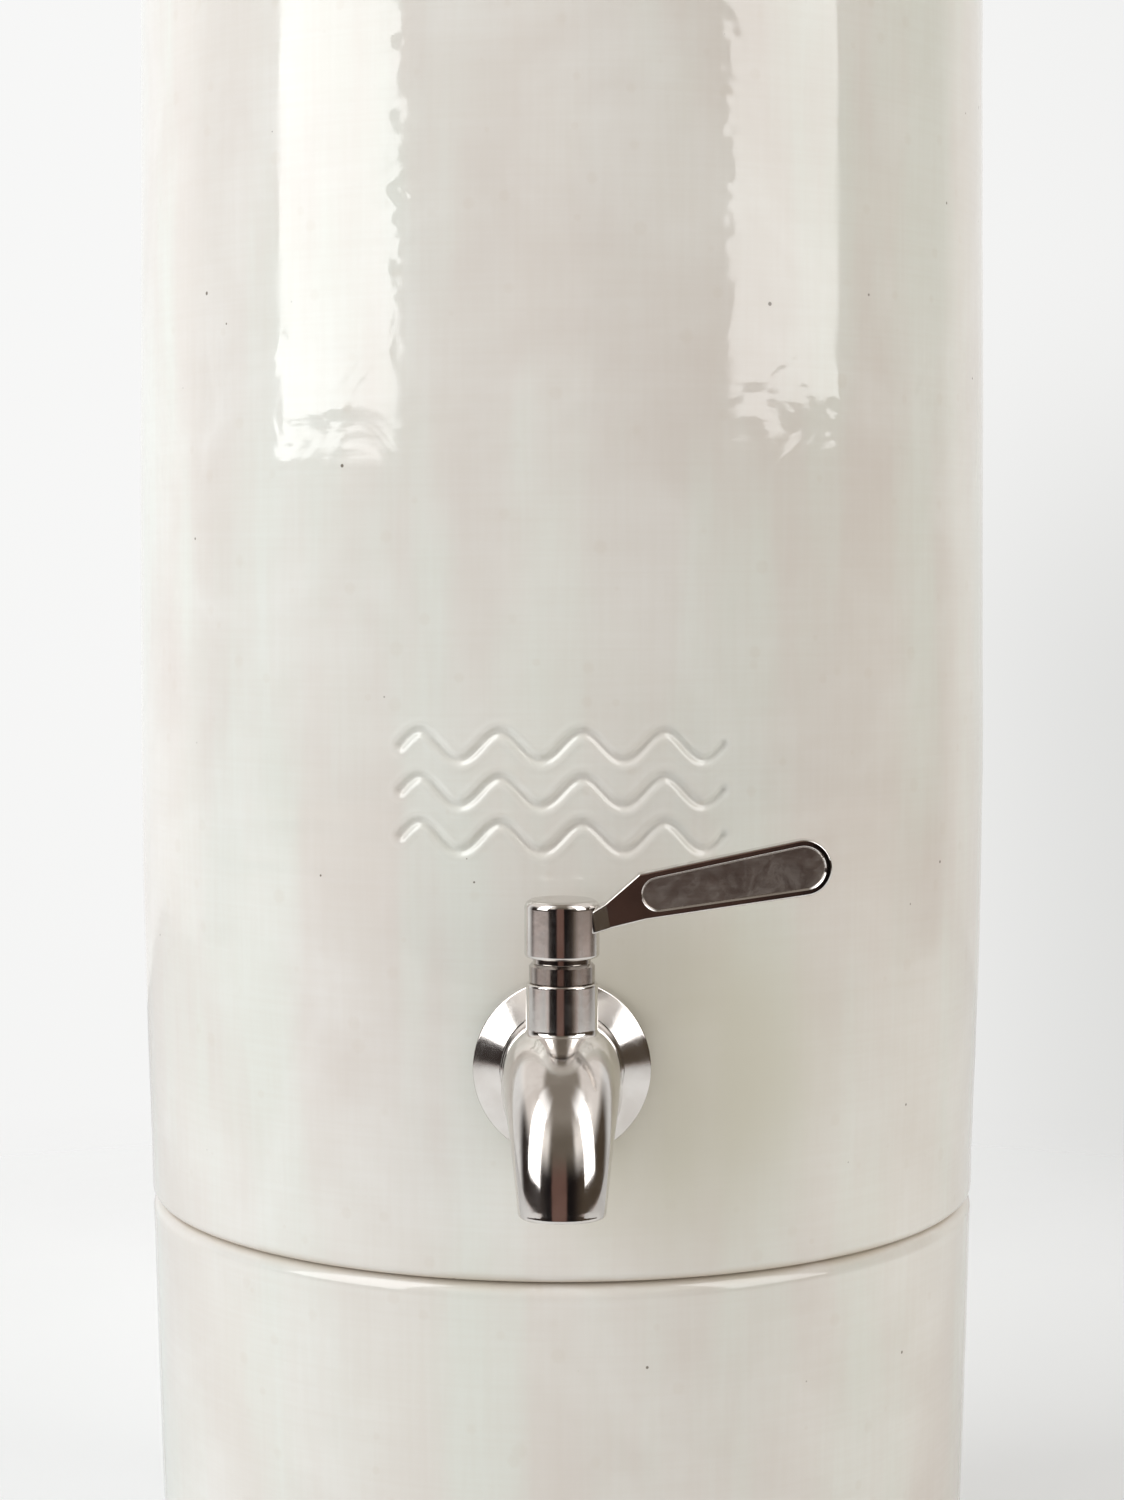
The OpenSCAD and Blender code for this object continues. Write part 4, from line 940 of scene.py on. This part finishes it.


# the glaze: a warm white that drifts between cream, rose and a cool grey, thin and brown at the
# seams, with flakes in the gloss where the highlights end and finger marks down both sides;
# painted shade: an olive-grey shadow of the tap painted on the wall to its right
glazeLook = {
    "cream": (0.660, 0.632, 0.575), "rose": (0.605, 0.555, 0.505), "cool": (0.640, 0.652, 0.590),
    "pale": (0.720, 0.705, 0.665), "thin": (0.50, 0.41, 0.315), "speck": (0.10, 0.075, 0.05),
    "stain": (0.555, 0.525, 0.430), "coolShare": 0.75, "paleShare": 0.45, "thinShare": 0.065, "fogShare": 0.10,
    "ironShare": 0.85, "seamShare": 0.6, "gloss": (0.045, 0.11), "coolRuns": (0.42, 0.66),
    "threadRange": (0.75, 1.25), "stainRuns": (0.2, 0.6, 0.55, 0.95), "seamRuns": (0.3, 0.7, 0.5, 1.5),
    "clouds": {"Size": 0.11, "Softness": 0.24, "Level": 0.47},
    "patches": {"Size": 0.045, "Softness": 0.20, "Level": 0.56},
    "dull": {"Size": 0.02, "Softness": 0.22, "Level": 0.5},
    "runs": {"Width": 0.028, "Height": 0.16, "Detail": 3.0},
    "threads": {"Width": 0.0016, "Height": 0.035, "Detail": 2.0},
    "hoops": {"Width": 0.040, "Height": 0.0011, "Detail": 2.0},
    "ridges": {"Width": 0.019, "Height": 0.0042, "Detail": 2.0},
    "chatter": {"Width": 0.009, "Height": 0.0062, "Detail": 1.0},
    "peel": {"Size": 0.0016, "Coarse": 0.9},
    "flakes": {"scale": 68.0, "detail": 1.6, "roughness": 0.45, "distortion": 0.8},
    "fog": {"Spacing": 0.0105, "Radius": 0.0019}, "iron": {"Spacing": 0.0135, "Radius": 0.00052},
    "bumps": {"ridges": 0.00004, "peel": 0.000005, "chatter": 0.00042, "flakes": 0.00034},
    "seams": (150.0, 574.0, 578.0), "seamReach": 2.4, "flakeBand": (348, 362, 388, 402),
    "chatterAt": (-19.5, 20.5), "chatterReach": (1.5, 5), "chatterRise": (385, 425),
    "stainAt": (0.030, -0.121, 0.203), "stainReach": (0.018, 0.062)}


def makeGlaze():
    g = glazeLook
    shader, spot = startMaterial("glaze", IOR=1.55)
    x, y, height = parted(spot)
    runs = placed("streaks", spot, **g["runs"])
    colour = blend(placed("blotches", spot, **g["clouds"]), g["cream"], g["rose"])
    colour = blend(times(remap(runs, *g["coolRuns"]), g["coolShare"]), colour, g["cool"])
    colour = blend(times(placed("blotches", spot, **g["patches"]), g["paleShare"]), colour, g["pale"])
    threads = plus(placed("streaks", spot, **g["threads"]), placed("streaks", spot, **g["hoops"]))
    colour = blend(remap(threads, *g["threadRange"], 0.0, g["thinShare"]), colour, g["thin"])
    colour = blend(times(placed("specks", spot, **g["fog"]), g["fogShare"]), colour, g["thin"])
    # painted shadow of the tap: an olive-grey tint on the wall just to its right, fading with distance and broken by
    # the runs
    beside = remap(vectorMath("DISTANCE", spot, g["stainAt"]), *g["stainReach"], 1.0, 0.0)
    colour = blend(times(beside, remap(runs, *g["stainRuns"])), colour, g["stain"])
    for seam in g["seams"]:
        away = calc("ABSOLUTE", minus(height, seam * mm))
        ragged = times(remap(runs, *g["seamRuns"]), g["seamReach"] * mm)
        colour = blend(remap(over(away, ragged), 0.0, 1.0, g["seamShare"], 0.0), colour, g["thin"])
    colour = blend(times(placed("specks", spot, **g["iron"]), g["ironShare"]), colour, g["speck"])
    near = 0.0
    for at in g["chatterAt"]:
        off = calc("ABSOLUTE", minus(bearing(x, y), math.radians(at)))
        near = plus(near, remap(off, *np.radians(g["chatterReach"]).tolist(), 1.0, 0.0))
    near = times(near, remap(height, *(h * mm for h in g["chatterRise"])))
    reliefs = {"ridges": placed("streaks", spot, **g["ridges"]), "peel": placed("fineGrain", spot, **g["peel"]),
               "chatter": times(placed("streaks", spot, **g["chatter"]), near),
               "flakes": times(noiseOf(spot, **g["flakes"]), within(height, *(h * mm for h in g["flakeBand"])))}
    normal = None
    for name, relief in reliefs.items():
        normal = bump(relief, g["bumps"][name], normal)
    rough = remap(placed("blotches", spot, **g["dull"]), 0.0, 1.0, *g["gloss"])
    feed(shader, baseColor=colour, roughness=rough, normal=normal)


# the other materials share one recipe: two tones in patches, a range of roughness and a grain;
# the steels also have the soft waves of hand polishing, and the blade's sunk panel is rubbed
steelPlain = {"metallic": 1.0, "patch": 0.009, "smudge": 0.010, "rough": (0.09, 0.15), "grain": (0.0005, 0.6),
              "bump": 0.000002, "waves": (0.012, 0.35, 0.00002)}
finishes = {
    "steel": {**steelPlain, "tones": ((0.70, 0.672, 0.645), (0.62, 0.585, 0.555))},
    # a darker copy of the steel, as painted shade on the bonnet
    "shadedRingSteel": {**steelPlain, "tones": ((0.46, 0.42, 0.39), (0.37, 0.33, 0.30))},
    # a still darker copy of the steel, as painted shade on the lever blade's flat border
    "shadedFlatSteel": {**steelPlain, "tones": ((0.25, 0.23, 0.21), (0.20, 0.185, 0.17))},
    "bladeSteel": {"metallic": 1.0, "tones": ((0.27, 0.235, 0.21), (0.36, 0.32, 0.285)), "patch": 0.0075,
                   "smudge": 0.006, "rough": (0.28, 0.46), "grain": (0.0004, 1.2), "bump": 0.000030,
                   "rubbed": (0.20, 0.165, 0.14), "rubbedRange": (0.35, 0.65, 0.0, 0.3),
                   "rubbing": {"Width": 0.010, "Height": 0.0012, "Detail": 3.0}},
    "ceramic": {"tones": ((0.80, 0.775, 0.72), (0.70, 0.665, 0.60)), "patch": 0.02, "smudge": 0.012,
                "rough": (0.72, 0.92), "grain": (0.0009, 0.8), "bump": 0.00012},
    "carbon": {"tones": ((0.022, 0.022, 0.024), (0.055, 0.054, 0.052)), "patch": 0.0035, "smudge": 0.0021,
               "rough": (0.55, 0.85), "grain": (0.0007, 0.8), "bump": 0.00015},
    "plastic": {"tones": ((0.80, 0.80, 0.775), (0.76, 0.755, 0.72)), "patch": 0.015, "smudge": 0.009,
                "rough": (0.30, 0.42), "grain": (0.0005, 0.8), "bump": 0.000018},
    "silicone": {"tones": ((0.66, 0.67, 0.67), (0.58, 0.585, 0.58)), "patch": 0.012, "smudge": 0.0072,
                 "rough": (0.36, 0.52), "grain": (0.0006, 0.8), "bump": 0.000022},
    "rubber": {"tones": ((0.018, 0.018, 0.019), (0.035, 0.034, 0.033)), "patch": 0.006, "smudge": 0.0036,
               "rough": (0.40, 0.62), "grain": (0.0004, 0.8), "bump": 0.000020}}


def makeFinish(label):
    q = finishes[label]
    shader, spot = startMaterial(label, **({"Metallic": 1.0} if "metallic" in q else {"IOR": 1.45}))
    colour = blend(placed("blotches", spot, Size=q["patch"], Softness=0.2, Level=0.5), *q["tones"])
    if "rubbed" in q:
        rubbing = placed("streaks", spot, **q["rubbing"])
        colour = blend(remap(rubbing, *q["rubbedRange"]), colour, q["rubbed"])
    normal = None
    if "waves" in q:
        size, softness, depth = q["waves"]
        normal = bump(placed("blotches", spot, Size=size, Softness=softness, Level=0.5), depth)
    size, coarse = q["grain"]
    normal = bump(placed("fineGrain", spot, Size=size, Coarse=coarse), q["bump"], normal)
    rough = placed("smudges", spot, Size=q["smudge"], Low=q["rough"][0], High=q["rough"][1])
    feed(shader, baseColor=colour, roughness=rough, normal=normal)


makeGlaze()
for label in finishes:
    makeFinish(label)

# the CAD's own solids whose shape is right
solidFinish = {
    "carbon": ["left_carbon_core", "right_carbon_core"],
    "plastic": ["left_wing_nut", "right_wing_nut"],
    "silicone": ["outer_washer", "inner_washer", "left_mount_seal", "right_mount_seal"],
    "steel": ["steel_washer", "lock_nut", "valve_plug", "spindle", "grub_screw"],
    "rubber": ["port_seal", "plug_o_ring", "spindle_o_ring"]}
for label, names in solidFinish.items():
    for name in names:
        nodes[name].data.materials.clear()
        nodes[name].data.materials.append(materials[label])
print("finishes made")

# a table top with round corners, its front edge nearer than its sides, in metres; it fades out
# towards its edges for the camera, and glows a little, more on the left
floorLook = {"side": 1.35, "front": 0.96, "back": 1.20, "corner": 0.10, "fade": (0.50, 0.92),
             "fadeAhead": (0.55, 0.92), "lift": (-0.2, 0.2, 0.18, 0.10), "colour": (0.86, 0.86, 0.85),
             "cloud": 0.975, "clouds": {"Size": 0.25, "Softness": 0.3, "Level": 0.5},
             "grain": {"Size": 0.002, "Coarse": 0.5}, "bump": 0.00003, "rough": 0.55}


def makeFloor():
    w, c, rim = floorLook, floorLook["corner"], []
    for x, y, start in ((w["side"] - c, w["back"] - c, 0), (c - w["side"], w["back"] - c, 90),
                        (c - w["side"], c - w["front"], 180), (w["side"] - c, c - w["front"], 270)):
        rim += [(px, py, 0) for px, py in arc(x, y, c, start, start + 90, 10)]
    floor = newPiece("floor", rim, [list(range(len(rim)))])
    materials["floor"] = bpy.data.materials.new("paleFloor")
    materials["floor"].use_nodes = True
    shader, spot = startMaterial("floor", Roughness=w["rough"])
    tree, base = shader.id_data, w["colour"]
    across, deep, _ = parted(spot)
    seen = addNode(tree, "ShaderNodeLightPath").outputs["Is Camera Ray"]
    shader.inputs["Emission Color"].default_value = (*base, 1)
    feed(shader, normal=bump(placed("fineGrain", spot, **w["grain"]), w["bump"]),
         baseColor=blend(placed("blotches", spot, **w["clouds"]), base, tuple(v * w["cloud"] for v in base)),
         emissionStrength=times(seen, remap(across, *w["lift"])))
    faded = calc("MAXIMUM", remap(vectorMath("LENGTH", spot), *w["fade"]),
                 remap(times(deep, -1.0), *w["fadeAhead"]))
    clear = addNode(tree, "ShaderNodeBsdfTransparent").outputs[0]
    mixed = addNode(tree, "ShaderNodeMixShader", {0: times(faded, seen), 1: shader.outputs[0], 2: clear}).outputs[0]
    tree.links.new(mixed, tree.nodes["Material Output"].inputs[0])
    floor.data.materials.append(materials["floor"])


# what lies around: the camera sees the backdrop, and the gloss a dark room with a rosy stripe in
# front, a pale skirt low down at the sides, and lamps overhead. The limits are where each begins,
# is full, fades and is gone: turns from the front in degrees, heights as the sine of the angle
# above the horizon, and sides as the sine of the turn.
studio = {
    "backdrop": (0.930, 0.930, 0.925), "shade": (0.66, 0.66, 0.645), "shadeSide": (0.06, 0.24),
    "shadeHeight": (0.13, -0.05, 0.18, 0.70), "lowHeight": (0.12, -0.38), "lowShare": 0.10,
    "room": (0.034, 0.025, 0.021), "roomRight": (0.085, 0.064, 0.045), "roomSide": (0.35, 0.75),
    "stripe": (0.19, 0.11, 0.09), "gloom": (0.010, 0.008, 0.008), "stripeAt": -5.0, "stripeHalf": (9, 12.5),
    "gloomHalf": (17, 36), "sides": (-0.3, 0.3),
    "skirtLeft": (0.68, 0.60, 0.575), "skirtRight": (0.52, 0.435, 0.40), "skirtBegins": (38, 29),
    "skirtFull": (46, 56), "skirtHeight": (-0.128, -0.108), "skirtDims": (88, 106), "skirtRest": 0.25,
    "opens": (100, 112), "openWidth": 22,
    "high": (0.17, 0.145, 0.115), "highSide": (1.2, 1.15, 1.1), "highTurn": (19, 31), "highAngle": (18, 44),
    "ceiling": (0.31, 0.275, 0.235), "ceilingAngle": (44, 72),
    "lampTop": (1.6, 1.6, 1.6), "topTurn": (34, 44, 84, 94), "topHeight": (0.82, 0.88, 0.90, 0.985),
    "lampBack": (0.95, 0.90, 0.86), "backTurn": (82, 98, 138, 152), "backHeight": (0.45, 0.60, 0.90, 0.96),
    "ambientLeft": (1.00, 1.08, 1.18), "ambientRight": (0.255, 0.228, 0.192), "ambientEdge": (0.48, 0.45, 0.40),
    "ambientSide": (-0.85, 0.20), "edgeSide": (0.45, 0.95)}


def turns(name):         # a limit's degrees in radians
    return [math.radians(v) for v in studio[name]]


def sines(name):
    return [math.sin(v) for v in turns(name)]


def backdropColour(x, z):                # pale, a little greyer low down on the right
    w = studio
    amount = times(remap(x, *w["shadeSide"]), remap(z, *w["shadeHeight"]))
    amount = plus(amount, times(remap(z, *w["lowHeight"]), w["lowShare"]))
    return blend(amount, w["backdrop"], w["shade"])


def makeWorld():
    w = studio
    world = bpy.data.worlds.new("studio")
    scene.world = world
    world.use_nodes = True
    tree = world.node_tree
    x, y, z = parted(addNode(tree, "ShaderNodeTexCoord").outputs["Generated"])
    around = bearing(x, y)
    turn, backdrop = calc("ABSOLUTE", around), backdropColour(x, z)
    aside = calc("ABSOLUTE", minus(around, math.radians(w["stripeAt"])))
    room = blend(remap(x, *w["roomSide"]), w["room"], w["roomRight"])
    room = blend(remap(aside, *turns("gloomHalf")), w["gloom"], room)
    room = blend(remap(aside, *turns("stripeHalf")), w["stripe"], room)
    begins, full, opens = (remap(x, *w["sides"], *turns(name)) for name in ("skirtBegins", "skirtFull", "opens"))
    beside = times(remap(turn, begins, full), remap(z, *w["skirtHeight"], 1.0, 0.0))
    beside = times(beside, remap(turn, *turns("skirtDims"), 1.0, w["skirtRest"]))
    room = blend(beside, room, blend(remap(x, *w["sides"]), w["skirtLeft"], w["skirtRight"]))
    room = blend(remap(turn, opens, plus(opens, math.radians(w["openWidth"]))), room, backdrop)
    high = blend(remap(turn, *turns("highTurn")), w["high"], w["highSide"])
    room = blend(remap(z, *sines("highAngle")), room, high)
    room = blend(remap(z, *sines("ceilingAngle")), room, w["ceiling"])
    for lamp, turnName, heightName in (("lampTop", "topTurn", "topHeight"), ("lampBack", "backTurn", "backHeight")):
        room = blend(times(within(turn, *turns(turnName)), within(z, *w[heightName])), room, w[lamp])
    path = addNode(tree, "ShaderNodeLightPath").outputs
    mirror = calc("MAXIMUM", path["Is Glossy Ray"], path["Is Transmission Ray"])
    ambient = blend(remap(x, *w["ambientSide"]), w["ambientLeft"], w["ambientRight"])
    ambient = blend(remap(x, *w["edgeSide"]), ambient, w["ambientEdge"])
    colour = blend(path["Is Camera Ray"], blend(mirror, ambient, room), backdrop)
    tree.links.new(colour, tree.nodes["Background"].inputs["Color"])


# azimuth from the front, positive to the right; sizes in metres. The low fill lights the wall at
# the right and doesn't show in the gloss.
lamps = {
    "leftSoftbox": {"azimuth": -58.5, "distance": 1.5, "width": 0.935, "height": 2.2, "middle": 1.53,
                    "radiance": 4.22, "inGloss": True},
    "rightSoftbox": {"azimuth": 58.1, "distance": 1.5, "width": 0.81, "height": 2.2, "middle": 1.55,
                     "radiance": 3.4, "inGloss": True},
    "lowFill": {"azimuth": 78, "distance": 0.75, "width": 0.26, "height": 0.26, "middle": 0.18,
                "radiance": 2.6, "inGloss": False}}


def makeLamp(name):
    b, turn = lamps[name], math.radians(lamps[name]["azimuth"])
    lamp = bpy.data.lights.new(name, "AREA")
    lamp.shape = "RECTANGLE"
    lamp.size, lamp.size_y = b["width"], b["height"]
    lamp.energy = b["radiance"] * math.pi * b["width"] * b["height"]
    holder = bpy.data.objects.new(name, lamp)
    scene.collection.objects.link(holder)
    holder.location = (b["distance"] * math.sin(turn), -b["distance"] * math.cos(turn), b["middle"])
    holder.rotation_euler = (math.radians(90), 0, turn)
    holder.visible_camera, holder.visible_glossy = False, b["inGloss"]


makeFloor()
makeWorld()
for name in lamps:
    makeLamp(name)
scene.view_settings.view_transform = "Standard"
print("stage made")
